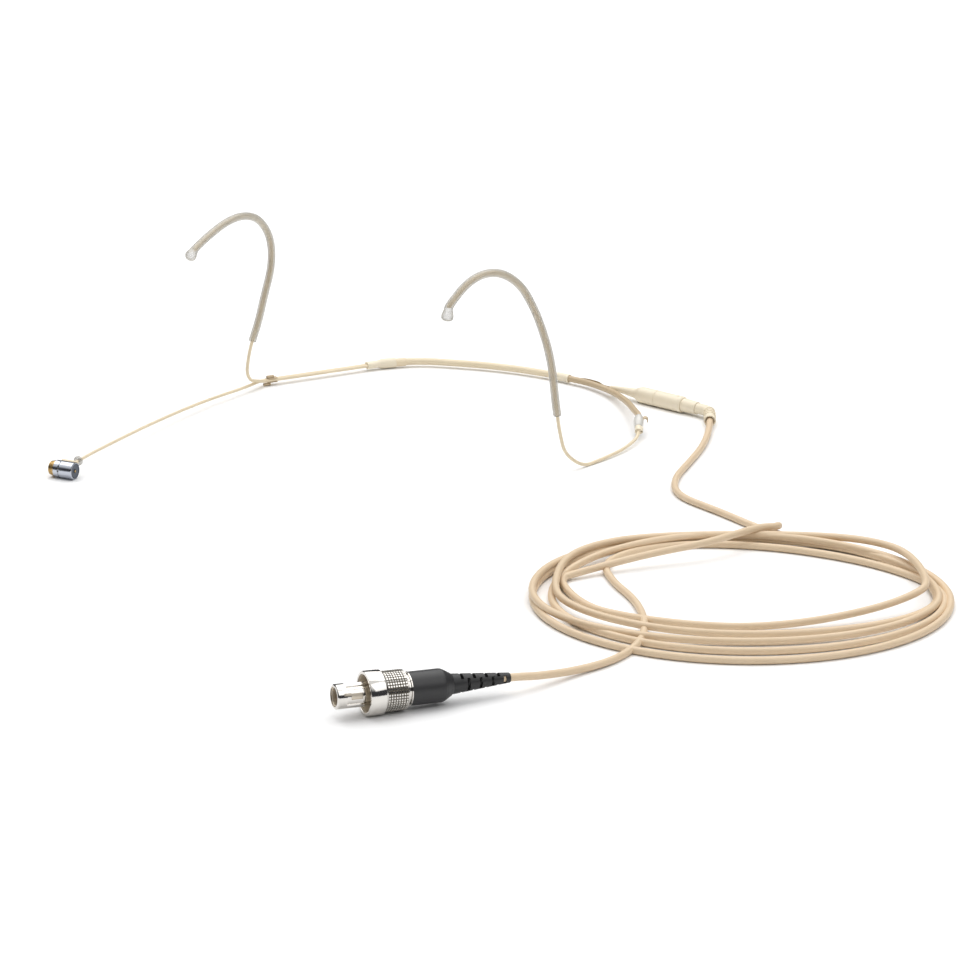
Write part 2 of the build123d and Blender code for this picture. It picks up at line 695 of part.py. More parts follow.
SHELL_START = CONE_LENGTH
RING_START = SHELL_START + SHELL_LENGTH
BACK_START = RING_START + RING_LENGTH
BACK_END = BACK_START + BACK_SHELL_LENGTH
SEAM = 0.05

with BuildPart() as strain_relief_cone:
    turned(CONNECTOR_TIP, CONNECTOR_DIR, [
        (0.0, LEAD_R + SNUG_GAP),
        (0.0, 0.38),
        (0.15, 0.46),
        (CONE_LENGTH - 0.1, 1.24),
        (CONE_LENGTH + 1.4, 1.24),
        (CONE_LENGTH + 1.4, LEAD_R + SNUG_GAP),
    ])
strain_relief_cone.part.label = "strain_relief_cone"
export_step(strain_relief_cone.part, "parts/strain_relief_cone.step")

with BuildPart() as socket_shell:
    turned(CONNECTOR_TIP, CONNECTOR_DIR, [
        (SHELL_START, 1.24 + SNUG_GAP),
        (SHELL_START, 1.42),
        (SHELL_START + 0.15, 1.50),
        (SHELL_START + 1.25, 1.92),
        (SHELL_START + 1.50, CONNECTOR_R),
        (RING_START, CONNECTOR_R),
        (RING_START, 1.30),
        (RING_START + 1.8, 1.30),
        (RING_START + 1.8, 1.05),
        (SHELL_START + 2.2, 1.05),
        (SHELL_START + 2.2, 1.24 + SNUG_GAP),
    ])
socket_shell.part.label = "socket_shell"
export_step(socket_shell.part, "parts/socket_shell.step")

with BuildPart() as socket_insulator:
    turned(CONNECTOR_TIP, CONNECTOR_DIR, [
        (SHELL_START + 2.4, 0.22),
        (SHELL_START + 2.4, 1.03),
        (RING_START + 1.0, 1.03),
        (RING_START + 1.0, 0.22),
    ])
socket_insulator.part.label = "socket_insulator"
export_step(socket_insulator.part, "parts/socket_insulator.step")

with BuildPart() as socket_pin:
    turned(CONNECTOR_TIP, CONNECTOR_DIR, [
        (SHELL_START + 2.0, 0),
        (SHELL_START + 2.0, 0.20),
        (RING_START + 2.2, 0.20),
        (RING_START + 2.5, 0.10),
        (RING_START + 2.5, 0),
    ])
socket_pin.part.label = "socket_pin"
export_step(socket_pin.part, "parts/socket_pin.step")

with BuildPart() as coupling_ring:
    turned(CONNECTOR_TIP, CONNECTOR_DIR, [
        (RING_START + SEAM, 1.34),
        (RING_START + SEAM, CONNECTOR_R - 0.04),
        (RING_START + SEAM + 0.04, CONNECTOR_R),
        (BACK_START - 0.35, CONNECTOR_R),
        (BACK_START - 0.05, CONNECTOR_R - 0.22),
        (BACK_START - 0.05, 1.34),
    ])
    notch_plane = Plane(
        origin=CONNECTOR_TIP + CONNECTOR_DIR * (BACK_START - 1.5), x_dir=CONNECTOR_DIR, z_dir=(0, 0, 1)
    )
    with BuildSketch(notch_plane.offset(CONNECTOR_R - 0.12)):
        Rectangle(0.45, 1.1)
    extrude(amount=1, mode=Mode.SUBTRACT)
coupling_ring.part.label = "coupling_ring"
export_step(coupling_ring.part, "parts/coupling_ring.step")

with BuildPart() as plug_insert:
    turned(CONNECTOR_TIP, CONNECTOR_DIR, [
        (RING_START + 2.6, 0.24),
        (RING_START + 2.6, 1.28),
        (BACK_START + 0.6, 1.28),
        (BACK_START + 0.6, 0.24),
    ])
plug_insert.part.label = "plug_insert"
export_step(plug_insert.part, "parts/plug_insert.step")

with BuildPart() as back_shell:
    turned(CONNECTOR_TIP, CONNECTOR_DIR, [
        (BACK_START, 1.30),
        (BACK_START, 1.60),
        (BACK_START + 0.15, 1.68),
        (BACK_END, 1.50),
        (BACK_END, 1.10),
        (BACK_START + 1.2, 1.10),
        (BACK_START + 1.2, 1.30),
    ])
back_shell.part.label = "back_shell"
export_step(back_shell.part, "parts/back_shell.step")

BOOT_R = 1.32
BOOT_BEND_R = 3.6
BOOT_RIBS = 4
BOOT_RIB_R = 1.46
BOOT_RIB_WIDTH = 0.32
RIB_FIRST = 0.42          # the ribs stand between these shares of the boot's length
RIB_LAST = 0.74

with BuildPart() as elbow_boot:
    boot_points = [
        tuple(CONNECTOR_TIP + CONNECTOR_DIR * (BACK_END + SEAM)),
        tuple(BOOT_CORNER),
        tuple(BOOT_END),
    ]
    swept(boot_points, [BOOT_BEND_R], BOOT_R)
    with BuildLine() as boot_line:
        FilletPolyline(*boot_points, radius=[BOOT_BEND_R])
    boot_wire = boot_line.wire()
    for rib in range(BOOT_RIBS):
        share = RIB_FIRST + (RIB_LAST - RIB_FIRST) * rib / (BOOT_RIBS - 1)
        with BuildSketch(Plane(origin=boot_wire @ share, z_dir=boot_wire % share)) as rib_face:
            Circle(BOOT_RIB_R)
        extrude(rib_face.sketch, amount=BOOT_RIB_WIDTH / 2, both=True)
    turned(BOOT_END - BOOT_DIR, BOOT_DIR, [(0, 0), (0, 1.34), (0.3, 1.42), (1.0, 1.42), (1.0, 0)])
    turned(BOOT_END - BOOT_DIR * (CABLE_INSERT + 0.1), BOOT_DIR, [
        (0, 0),
        (0, CABLE_R + SNUG_GAP),
        (CABLE_INSERT - 0.9, CABLE_R + SNUG_GAP),
        (CABLE_INSERT - 0.9, 1.10),
        (CABLE_INSERT + 1.0, 1.18),
        (CABLE_INSERT + 1.0, 0),
    ], mode=Mode.SUBTRACT)
elbow_boot.part.label = "elbow_boot"
export_step(elbow_boot.part, "parts/elbow_boot.step")

# ---------------------------------------------------------------- cable

cable_lead_radii = corner_radii(cable_lead_points)
cable_crossing_radii = corner_radii(cable_crossing_points)
cable_tail_radii = corner_radii(cable_tail_points)

with BuildPart() as cable_lead:
    cable_lead_length = swept(cable_lead_points, cable_lead_radii, CABLE_R)
cable_lead.part.label = "cable_lead"
export_step(cable_lead.part, "parts/cable_lead.step")

with BuildPart() as cable_coil:
    with BuildSketch():
        with Locations(COIL_CENTRE):
            Ellipse(COIL_LONG_R, COIL_SHORT_R, rotation=COIL_TURN)
        with Locations(COIL_HOLE_CENTRE):
            Ellipse(COIL_HOLE_LONG_R, COIL_HOLE_SHORT_R, rotation=COIL_TURN, mode=Mode.SUBTRACT)
    extrude(amount=COIL_HEIGHT)
    fillet(cable_coil.edges(), COIL_EDGE_R)
cable_coil.part.label = "cable_coil"
export_step(cable_coil.part, "parts/cable_coil.step")

with BuildPart() as cable_crossing:
    cable_crossing_length = swept(cable_crossing_points, cable_crossing_radii, CABLE_R)
cable_crossing.part.label = "cable_crossing"
export_step(cable_crossing.part, "parts/cable_crossing.step")

with BuildPart() as cable_tail:
    cable_tail_length = swept(cable_tail_points, cable_tail_radii, CABLE_R)
cable_tail.part.label = "cable_tail"
export_step(cable_tail.part, "parts/cable_tail.step")

# ---------------------------------------------------------------- end plug

RELIEF_SMALL_R = 0.98
RELIEF_LARGE_R = 2.05
SLOT_WIDTH = 0.62
SLOT_FIRST = 0.97
SLOT_PITCH = 2.6
SLOTS = 4
WEB = 1.0                 # width of the two webs that every pair of slots leaves


def relief_slots(station, turn):
    """Cut a pair of slots through the bend relief at a station, turned about its axis."""
    reach = RELIEF_SMALL_R + (RELIEF_LARGE_R - RELIEF_SMALL_R) * station / RELIEF_LENGTH
    across = Plane(origin=PLUG_REAR + PLUG_DIR * station, z_dir=PLUG_DIR, x_dir=(-0.887, 0.461, 0))
    with BuildSketch(across) as slot_pair:
        with PolarLocations(WEB / 2 + 1.5, 2, start_angle=turn):
            Rectangle(3.0, 1.5 * reach)
    extrude(slot_pair.sketch, amount=SLOT_WIDTH, mode=Mode.SUBTRACT)


with BuildPart() as plug_bend_relief:
    turned(PLUG_REAR, PLUG_DIR, [
        (0.0, CABLE_R + SNUG_GAP),
        (0.0, 0.95),
        (0.12, 1.01),
        (RELIEF_LENGTH, RELIEF_LARGE_R),
        (RELIEF_LENGTH, CABLE_R + SNUG_GAP),
    ])
    for slot in range(SLOTS):
        relief_slots(SLOT_FIRST + SLOT_PITCH * slot, 0)
        relief_slots(SLOT_FIRST + SLOT_PITCH * (slot + 0.5), 90)
plug_bend_relief.part.label = "plug_bend_relief"
export_step(plug_bend_relief.part, "parts/plug_bend_relief.step")

with BuildPart() as plug_nut:
    turned(PLUG_REAR, PLUG_DIR, [
        (RELIEF_LENGTH + SEAM, CABLE_R + 0.1),
        (RELIEF_LENGTH + SEAM, 2.10),
        (RELIEF_LENGTH + 0.30, 2.30),
        (NUT_SHOULDER - 0.6, 3.05),
        (NUT_SHOULDER - 0.1, NUT_R - 0.05),
        (NUT_SHOULDER + 0.4, NUT_R),
        (NUT_END, NUT_R),
        (NUT_END, 2.64),
        (15.0, 2.64),
        (15.0, CABLE_R + 0.1),
    ])
plug_nut.part.label = "plug_nut"
export_step(plug_nut.part, "parts/plug_nut.step")

with BuildPart() as nut_rim:
    turned(PLUG_REAR, PLUG_DIR, [
        (NUT_END + 0.02, 2.64),
        (NUT_END + 0.02, 3.40),
        (RIM_END, 3.40),
        (RIM_END, 2.64),
    ])
nut_rim.part.label = "nut_rim"
export_step(nut_rim.part, "parts/nut_rim.step")

with BuildPart() as plug_body:
    turned(PLUG_REAR, PLUG_DIR, [
        (15.3, 2.20),
        (15.3, 2.60),
        (RIM_END + 0.05, 2.60),
        (RIM_END + 0.05, 3.04),
        (23.6, 3.04),
        (23.6, 2.60),
        (27.2, 2.60),
        (27.2, 2.20),
    ])
plug_body.part.label = "plug_body"
export_step(plug_body.part, "parts/plug_body.step")

with BuildPart() as plug_collet:
    turned(PLUG_REAR, PLUG_DIR, [
        (15.5, CABLE_R + SNUG_GAP),
        (15.5, 2.10),
        (16.2, 2.17),
        (19.6, 2.17),
        (19.6, CABLE_R + SNUG_GAP),
    ])
    collet_plane = Plane(origin=PLUG_REAR + PLUG_DIR * 15.0, z_dir=PLUG_DIR)
    with BuildSketch(collet_plane):
        Rectangle(6.0, 0.35)
        Rectangle(0.35, 6.0)
    extrude(amount=3.2, mode=Mode.SUBTRACT)
plug_collet.part.label = "plug_collet"
export_step(plug_collet.part, "parts/plug_collet.step")

with BuildPart() as plug_cable_end:
    turned(PLUG_REAR, PLUG_DIR, [(3.5, 0), (3.5, CABLE_R), (19.4, CABLE_R), (19.4, 0)])
plug_cable_end.part.label = "plug_cable_end"
export_step(plug_cable_end.part, "parts/plug_cable_end.step")

with BuildPart() as release_collar:
    turned(PLUG_REAR, PLUG_DIR, [
        (COLLAR_START, 3.12),
        (COLLAR_START, GRIP_R - 0.12),
        (COLLAR_START + 0.12, GRIP_R),
        (GRIP_END, GRIP_R),
        (GRIP_END + 0.15, GRIP_R - 0.15),
        (GRIP_END + 0.30, COLLAR_R - 0.10),
        (GRIP_END + 0.45, COLLAR_R),
        (COLLAR_END - 0.25, COLLAR_R),
        (COLLAR_END, COLLAR_R - 0.20),
        (COLLAR_END, 3.75),
        (27.4, 3.75),
        (27.4, 2.66),
        (26.5, 2.66),
        (26.5, 3.12),
    ])
release_collar.part.label = "release_collar"
export_step(release_collar.part, "parts/release_collar.step")

SPRING_COIL_R = 2.85
SPRING_WIRE_R = 0.15
SPRING_PITCH = 0.5
SPRING_LENGTH = 1.7

with BuildPart() as collar_spring:
    spring_start = PLUG_REAR + PLUG_DIR * (23.6 + SPRING_WIRE_R + SEAM)
    with BuildLine() as spring_line:
        Helix(SPRING_PITCH, SPRING_LENGTH, SPRING_COIL_R, center=spring_start, direction=PLUG_DIR)
    with BuildSketch(Plane(origin=spring_line.line @ 0, z_dir=spring_line.line % 0)) as spring_end:
        Circle(SPRING_WIRE_R)
    sweep(spring_end.sketch, path=spring_line.wire(), is_frenet=True)
collar_spring.part.label = "collar_spring"
export_step(collar_spring.part, "parts/collar_spring.step")

KEY_WIDTH = 0.9
FIRST_KEY = -43           # degrees round the nose
KEYS = 3
WINDOW_WIDTH = 1.2

with BuildPart() as plug_nose:
    nose_plane = Plane(origin=PLUG_REAR + PLUG_DIR * 29.0, z_dir=PLUG_DIR, x_dir=(0.887, -0.461, 0))
    turned(PLUG_REAR, PLUG_DIR, [
        (25.0, 1.50),
        (25.0, 2.18),
        (NOSE_RING_START, 2.18),
        (NOSE_RING_START, NOSE_R),
        (NOSE_END - 0.2, NOSE_R),
        (NOSE_END, NOSE_R - 0.2),
        (NOSE_END, 1.96),
        (30.1, 1.96),
        (30.1, 1.50),
    ])
    for key in range(KEYS):
        turn = FIRST_KEY + 360 * key / KEYS
        with BuildSketch(nose_plane):
            with PolarLocations(2.26, 1, start_angle=turn):
                Rectangle(0.44, KEY_WIDTH)
        extrude(amount=NOSE_RING_START - 29.0)
        with BuildSketch(nose_plane.offset(2.2)):
            with PolarLocations(2.3, 1, start_angle=turn + 55):
                Rectangle(1.0, WINDOW_WIDTH)
        extrude(amount=2.4, mode=Mode.SUBTRACT)
        with BuildSketch(nose_plane.offset(4.6)):
            with PolarLocations(2.3, 1, start_angle=turn + 67):
                Rectangle(1.0, WINDOW_WIDTH * 0.45)
        extrude(amount=1.5, mode=Mode.SUBTRACT)
plug_nose.part.label = "plug_nose"
export_step(plug_nose.part, "parts/plug_nose.step")

CONTACT_CIRCLE_R = 1.0
CONTACT_R = 0.20
CONTACTS = 3
contact_plane = Plane(origin=PLUG_REAR + PLUG_DIR * 28.6, z_dir=PLUG_DIR)

with BuildPart() as plug_insulator:
    turned(PLUG_REAR, PLUG_DIR, [
        (30.15, 0),
        (30.15, 1.94),
        (NOSE_END - 0.3, 1.94),
        (NOSE_END - 0.3, 1.70),
        (33.0, 1.70),
        (33.0, 0),
    ])
    with BuildSketch(contact_plane):
        with PolarLocations(CONTACT_CIRCLE_R, CONTACTS):
            Circle(CONTACT_R + SNUG_GAP)
    extrude(amount=6, mode=Mode.SUBTRACT)
plug_insulator.part.label = "plug_insulator"
export_step(plug_insulator.part, "parts/plug_insulator.step")


def contact(number):
    """Add one contact pin on the contact circle, numbered from zero."""
    with BuildSketch(contact_plane) as pin_round:
        with PolarLocations(CONTACT_CIRCLE_R, 1, start_angle=360 * number / CONTACTS):
            Circle(CONTACT_R)
    extrude(pin_round.sketch, amount=6.8)


with BuildPart() as plug_contact_a:
    contact(0)
plug_contact_a.part.label = "plug_contact_a"
export_step(plug_contact_a.part, "parts/plug_contact_a.step")

with BuildPart() as plug_contact_b:
    contact(1)
plug_contact_b.part.label = "plug_contact_b"
export_step(plug_contact_b.part, "parts/plug_contact_b.step")

with BuildPart() as plug_contact_c:
    contact(2)
plug_contact_c.part.label = "plug_contact_c"
export_step(plug_contact_c.part, "parts/plug_contact_c.step")

# ---------------------------------------------------------------- report

cords = [
    ("cable_lead", cable_lead.part, cable_lead_radii, cable_lead_length),
    ("cable_crossing", cable_crossing.part, cable_crossing_radii, cable_crossing_length),
    ("cable_tail", cable_tail.part, cable_tail_radii, cable_tail_length),
]
for cord_name, cord_part, cord_bends, cord_length in cords:
    bends = ", ".join(f"{bend:.1f}" for bend in cord_bends)
    expected = math.pi * CABLE_R**2 * cord_length
    print(f"{cord_name}: length {cord_length:.1f}, bends {bends}")
    print(f"{cord_name}: volume {cord_part.volume:.1f}, section times length {expected:.1f}")
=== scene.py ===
"""Looks of the stage headset microphone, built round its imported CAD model.

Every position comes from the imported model. Lengths in the dataclasses are millimetres and become
metres where a mesh or curve is made.
"""

import json
import logging
import math
from dataclasses import dataclass, field
from enum import Enum
from typing import Iterable, Sequence

import bpy
from mathutils import Matrix, Vector

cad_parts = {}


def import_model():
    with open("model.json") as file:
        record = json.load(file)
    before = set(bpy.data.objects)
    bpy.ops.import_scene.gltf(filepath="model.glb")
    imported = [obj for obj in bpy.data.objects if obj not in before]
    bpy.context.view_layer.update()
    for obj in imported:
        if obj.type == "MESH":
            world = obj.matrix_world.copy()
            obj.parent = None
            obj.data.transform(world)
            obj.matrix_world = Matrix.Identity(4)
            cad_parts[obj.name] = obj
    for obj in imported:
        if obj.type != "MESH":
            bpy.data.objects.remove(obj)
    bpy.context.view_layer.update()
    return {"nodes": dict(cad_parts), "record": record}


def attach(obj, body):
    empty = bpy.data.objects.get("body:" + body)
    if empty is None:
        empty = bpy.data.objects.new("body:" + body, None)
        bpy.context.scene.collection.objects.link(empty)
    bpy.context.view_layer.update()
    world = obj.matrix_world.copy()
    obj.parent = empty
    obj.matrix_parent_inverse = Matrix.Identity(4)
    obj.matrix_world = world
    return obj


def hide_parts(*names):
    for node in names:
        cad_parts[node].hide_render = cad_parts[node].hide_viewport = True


LOG = logging.getLogger("headset")
MM = 0.001
MERGE_DISTANCE = 0.000002           # metres between vertices that count as one

Point = tuple[float, float, float]
Colour = tuple[float, float, float, float]
Outline = Sequence[tuple[float, float]]

CAPSULE_DIRECTION: Point = (0.970, 0.242, 0.0)
PLUG_DIRECTION: Point = (-0.461, -0.887, 0.035)
NOSE_MOUNT_STATION = 35.35          # millimetres from the plug's rear end to its nose mount


def linear(red: int, green: int, blue: int) -> Colour:
    """Turn a display colour into the linear one that a shader takes.

    Args:
        red: red, 0 to 255.
        green: green, 0 to 255.
        blue: blue, 0 to 255.

    Returns:
        The linear colour with full alpha.
    """
    def channel(value: int) -> float:
        """Undo the display curve for one channel."""
        share = value / 255
        return share / 12.92 if share <= 0.04045 else ((share + 0.055) / 1.055) ** 2.4

    return (channel(red), channel(green), channel(blue), 1.0)


# ---------------------------------------------------------------- modelling bench


@dataclass(frozen=True)
class Axis:
    """A line in the headset's frame that a turned piece is made about."""

    origin: Point
    direction: Point

    def matrix(self) -> Matrix:
        """Return the placement that lays local +Z along the axis, in metres."""
        along = Vector(self.direction).normalized()
        turn = Vector((0, 0, 1)).rotation_difference(along).to_matrix().to_4x4()
        return Matrix.Translation(Vector(self.origin) * MM) @ turn


class Bench:
    """Small modelling steps that several pieces share."""

    @staticmethod
    def clear() -> None:
        """Leave edit mode and deselect everything."""
        if bpy.context.object and bpy.context.object.mode != "OBJECT":
            bpy.ops.object.mode_set(mode="OBJECT")
        bpy.ops.object.select_all(action="DESELECT")

    @staticmethod
    def pick(piece: bpy.types.Object) -> None:
        """Select one object alone and make it active."""
        Bench.clear()
        piece.select_set(True)
        bpy.context.view_layer.objects.active = piece

    @staticmethod
    def place(piece: bpy.types.Object, placement: Matrix) -> None:
        """Move a finished piece into place and put the place into its mesh."""
        Bench.pick(piece)
        piece.matrix_world = placement
        bpy.ops.object.transform_apply(location=True, rotation=True, scale=True)

    @staticmethod
    def ring(name: str, sides: int, radius: float, station: float) -> bpy.types.Object:
        """Start a turned piece as a ring of edges in edit mode.

        Args:
            name: the piece's name.
            sides: edges round the ring.
            radius: ring radius in millimetres.
            station: distance along local Z in millimetres.

        Returns:
            The new object, in edit mode with the ring selected.
        """
        Bench.clear()
        bpy.ops.mesh.primitive_circle_add(vertices=sides, radius=radius * MM, location=(0, 0, 0))
        piece = bpy.context.object
        piece.name = name
        bpy.ops.object.mode_set(mode="EDIT")
        bpy.ops.mesh.select_mode(type="VERT")
        bpy.ops.mesh.select_all(action="SELECT")
        bpy.ops.transform.translate(value=(0, 0, station * MM))
        return piece

    @staticmethod
    def pull(before: tuple[float, float], after: tuple[float, float]) -> None:
        """Extrude the selected ring from one (station, radius) to the next."""
        step = (after[0] - before[0]) * MM
        bpy.ops.mesh.extrude_region_move(TRANSFORM_OT_translate={"value": (0, 0, step)})
        scale = after[1] / before[1]
        bpy.ops.transform.resize(value=(scale, scale, 1), center_override=(0, 0, after[0] * MM))

    @staticmethod
    def tube(
        name: str, places: Sequence[Vector], sizes: Sequence[float], rounds: int, steps: int
    ) -> bpy.types.Object:
        """Draw a round tube as one open smooth curve.

        Args:
            name: the piece's name.
            places: points of its centre line, in millimetres.
            sizes: its radius at every point, in millimetres.
            rounds: how finely its cross-section is rounded.
            steps: how many steps the curve takes from point to point.

        Returns:
            The new curve object.
        """
        curve = bpy.data.curves.new(name, "CURVE")
        curve.dimensions = "3D"
        curve.bevel_depth = max(sizes) * MM
        curve.bevel_resolution = rounds
        curve.resolution_u = steps
        curve.use_fill_caps = True
        spline = curve.splines.new("NURBS")
        spline.points.add(len(places) - 1)
        for knot, place, size in zip(spline.points, places, sizes):
            knot.co = (*(place * MM), 1.0)
            knot.radius = size / max(sizes)
        spline.order_u = 3
        spline.use_endpoint_u = True
        piece = bpy.data.objects.new(name, curve)
        bpy.context.scene.collection.objects.link(piece)
        return piece

    @staticmethod
    def soften(piece: bpy.types.Object, width: float, angle: float = 30.0) -> None:
        """Round a finished piece's sharp edges and smooth its shading.

        Args:
            piece: the mesh object.
            width: bevel width in millimetres, 0 for none.
            angle: edges sharper than this many degrees are rounded.
        """
        Bench.pick(piece)
        if width > 0:
            bevel = piece.modifiers.new("edge", "BEVEL")
            bevel.width = width * MM
            bevel.segments = 2
            bevel.limit_method = "ANGLE"
            bevel.angle_limit = math.radians(angle)
            bpy.ops.object.modifier_apply(modifier=bevel.name)
        bpy.ops.object.shade_smooth_by_angle(angle=math.radians(angle + 10))


@dataclass(frozen=True)
class Turned:
    """A piece turned about an axis from an outline of (station, radius) in millimetres."""

    name: str
    axis: Axis
    outline: Outline
    sides: int = 72
    hollow: bool = True
    edge: float = 0.03

    def build(self) -> bpy.types.Object:
        """Extrude the outline ring by ring, close it, and put it in place."""
        first = self.outline[0]
        piece = Bench.ring(self.name, self.sides, first[1], first[0])
        for before, after in zip(self.outline, self.outline[1:]):
            Bench.pull(before, after)
        if self.hollow:
            Bench.pull(self.outline[-1], first)
            bpy.ops.mesh.select_all(action="SELECT")
            bpy.ops.mesh.remove_doubles(threshold=MERGE_DISTANCE)
        else:
            bpy.ops.mesh.edge_face_add()
            bpy.ops.object.mode_set(mode="OBJECT")
            for vertex in piece.data.vertices:
                vertex.select = vertex.index < self.sides
            bpy.ops.object.mode_set(mode="EDIT")
            bpy.ops.mesh.edge_face_add()
        bpy.ops.mesh.select_all(action="SELECT")
        bpy.ops.mesh.normals_make_consistent(inside=False)
        Bench.clear()
        Bench.soften(piece, self.edge)
        Bench.place(piece, self.axis.matrix())
        return piece


# ---------------------------------------------------------------- finishes


class Effects:
    """Shader node groups that more than one finish uses, each built once."""

    @staticmethod
    def socket(
        group: bpy.types.NodeTree, name: str, kind: str, default: object = None, output: bool = False
    ) -> None:
        """Add one named socket to a group."""
        side = "OUTPUT" if output else "INPUT"
        made = group.interface.new_socket(name=name, in_out=side, socket_type=kind)
        if default is not None:
            made.default_value = default

    @staticmethod
    def drift() -> bpy.types.NodeTree:
        """Return the group that lets a colour and a roughness drift softly over a surface."""
        if "tone_drift" in bpy.data.node_groups:
            return bpy.data.node_groups["tone_drift"]
        group = bpy.data.node_groups.new("tone_drift", "ShaderNodeTree")
        Effects.socket(group, "Vector", "NodeSocketVector")
        Effects.socket(group, "Tone", "NodeSocketColor", (0.5, 0.5, 0.5, 1))
        Effects.socket(group, "Worn Tone", "NodeSocketColor", (0.4, 0.4, 0.4, 1))
        Effects.socket(group, "Scale", "NodeSocketFloat", 100.0)
        Effects.socket(group, "Roughness", "NodeSocketFloat", 0.5)
        Effects.socket(group, "Spread", "NodeSocketFloat", 0.1)
        Effects.socket(group, "Colour", "NodeSocketColor", output=True)
        Effects.socket(group, "Roughness", "NodeSocketFloat", output=True)
        nodes, links = group.nodes, group.links
        source = nodes.new("NodeGroupInput")
        sink = nodes.new("NodeGroupOutput")
        cloud = nodes.new("ShaderNodeTexNoise")
        cloud.inputs["Detail"].default_value = 4.0
        cloud.inputs["Roughness"].default_value = 0.6
        mix = nodes.new("ShaderNodeMix")
        mix.data_type = "RGBA"
        centre = nodes.new("ShaderNodeMath")
        centre.operation = "SUBTRACT"
        centre.inputs[1].default_value = 0.5
        widen = nodes.new("ShaderNodeMath")
        widen.operation = "MULTIPLY"
        add = nodes.new("ShaderNodeMath")
        add.operation = "ADD"
        add.use_clamp = True
        links.new(source.outputs["Vector"], cloud.inputs["Vector"])
        links.new(source.outputs["Scale"], cloud.inputs["Scale"])
        links.new(cloud.outputs["Fac"], mix.inputs["Factor"])
        links.new(source.outputs["Tone"], mix.inputs["A"])
        links.new(source.outputs["Worn Tone"], mix.inputs["B"])
        links.new(mix.outputs["Result"], sink.inputs["Colour"])
        links.new(cloud.outputs["Fac"], centre.inputs[0])
        links.new(centre.outputs[0], widen.inputs[0])
        links.new(source.outputs["Spread"], widen.inputs[1])
        links.new(widen.outputs[0], add.inputs[0])
        links.new(source.outputs["Roughness"], add.inputs[1])
        links.new(add.outputs[0], sink.inputs["Roughness"])
        return group

    @staticmethod
    def skin() -> bpy.types.NodeTree:
        """Return the group that gives the fine moulded skin of plastic and rubber as a height."""
        if "moulded_skin" in bpy.data.node_groups:
            return bpy.data.node_groups["moulded_skin"]
        group = bpy.data.node_groups.new("moulded_skin", "ShaderNodeTree")
        Effects.socket(group, "Vector", "NodeSocketVector")
        Effects.socket(group, "Grain Scale", "NodeSocketFloat", 3000.0)
        Effects.socket(group, "Height", "NodeSocketFloat", output=True)
        nodes, links = group.nodes, group.links
        source = nodes.new("NodeGroupInput")
        sink = nodes.new("NodeGroupOutput")
        fine = nodes.new("ShaderNodeTexNoise")
        fine.inputs["Detail"].default_value = 3.0
        cells = nodes.new("ShaderNodeTexVoronoi")
        half = nodes.new("ShaderNodeMath")
        half.operation = "MULTIPLY_ADD"
        half.inputs[1].default_value = 0.4
        links.new(source.outputs["Vector"], fine.inputs["Vector"])
        links.new(source.outputs["Vector"], cells.inputs["Vector"])
        links.new(source.outputs["Grain Scale"], fine.inputs["Scale"])
        links.new(source.outputs["Grain Scale"], cells.inputs["Scale"])
        links.new(cells.outputs["Distance"], half.inputs[0])
        links.new(fine.outputs["Fac"], half.inputs[2])
        links.new(half.outputs[0], sink.inputs["Height"])
        return group

    @staticmethod
    def lathe_marks() -> bpy.types.NodeTree:
        """Return the group that gives the fine rings a lathe leaves, as a height along an axis."""
        if "lathe_marks" in bpy.data.node_groups:
            return bpy.data.node_groups["lathe_marks"]
        group = bpy.data.node_groups.new("lathe_marks", "ShaderNodeTree")
        Effects.socket(group, "Vector", "NodeSocketVector")
        Effects.socket(group, "Axis", "NodeSocketVector", (1, 0, 0))
        Effects.socket(group, "Rings", "NodeSocketFloat", 9000.0)
        Effects.socket(group, "Height", "NodeSocketFloat", output=True)
        nodes, links = group.nodes, group.links
        source = nodes.new("NodeGroupInput")
        sink = nodes.new("NodeGroupOutput")
        along = nodes.new("ShaderNodeVectorMath")
        along.operation = "DOT_PRODUCT"
        scaled = nodes.new("ShaderNodeMath")
        scaled.operation = "MULTIPLY"
        rings = nodes.new("ShaderNodeTexNoise")
        rings.noise_dimensions = "1D"
        rings.inputs["Scale"].default_value = 1.0
        rings.inputs["Detail"].default_value = 2.0
        links.new(source.outputs["Vector"], along.inputs[0])
        links.new(source.outputs["Axis"], along.inputs[1])
        links.new(along.outputs["Value"], scaled.inputs[0])
        links.new(source.outputs["Rings"], scaled.inputs[1])
        links.new(scaled.outputs[0], rings.inputs["W"])
        links.new(rings.outputs["Fac"], sink.inputs["Height"])
        return group


class Surface(Enum):
    """What gives a finish its fine relief."""

    MOULDED = "moulded"
    LATHE = "lathe"


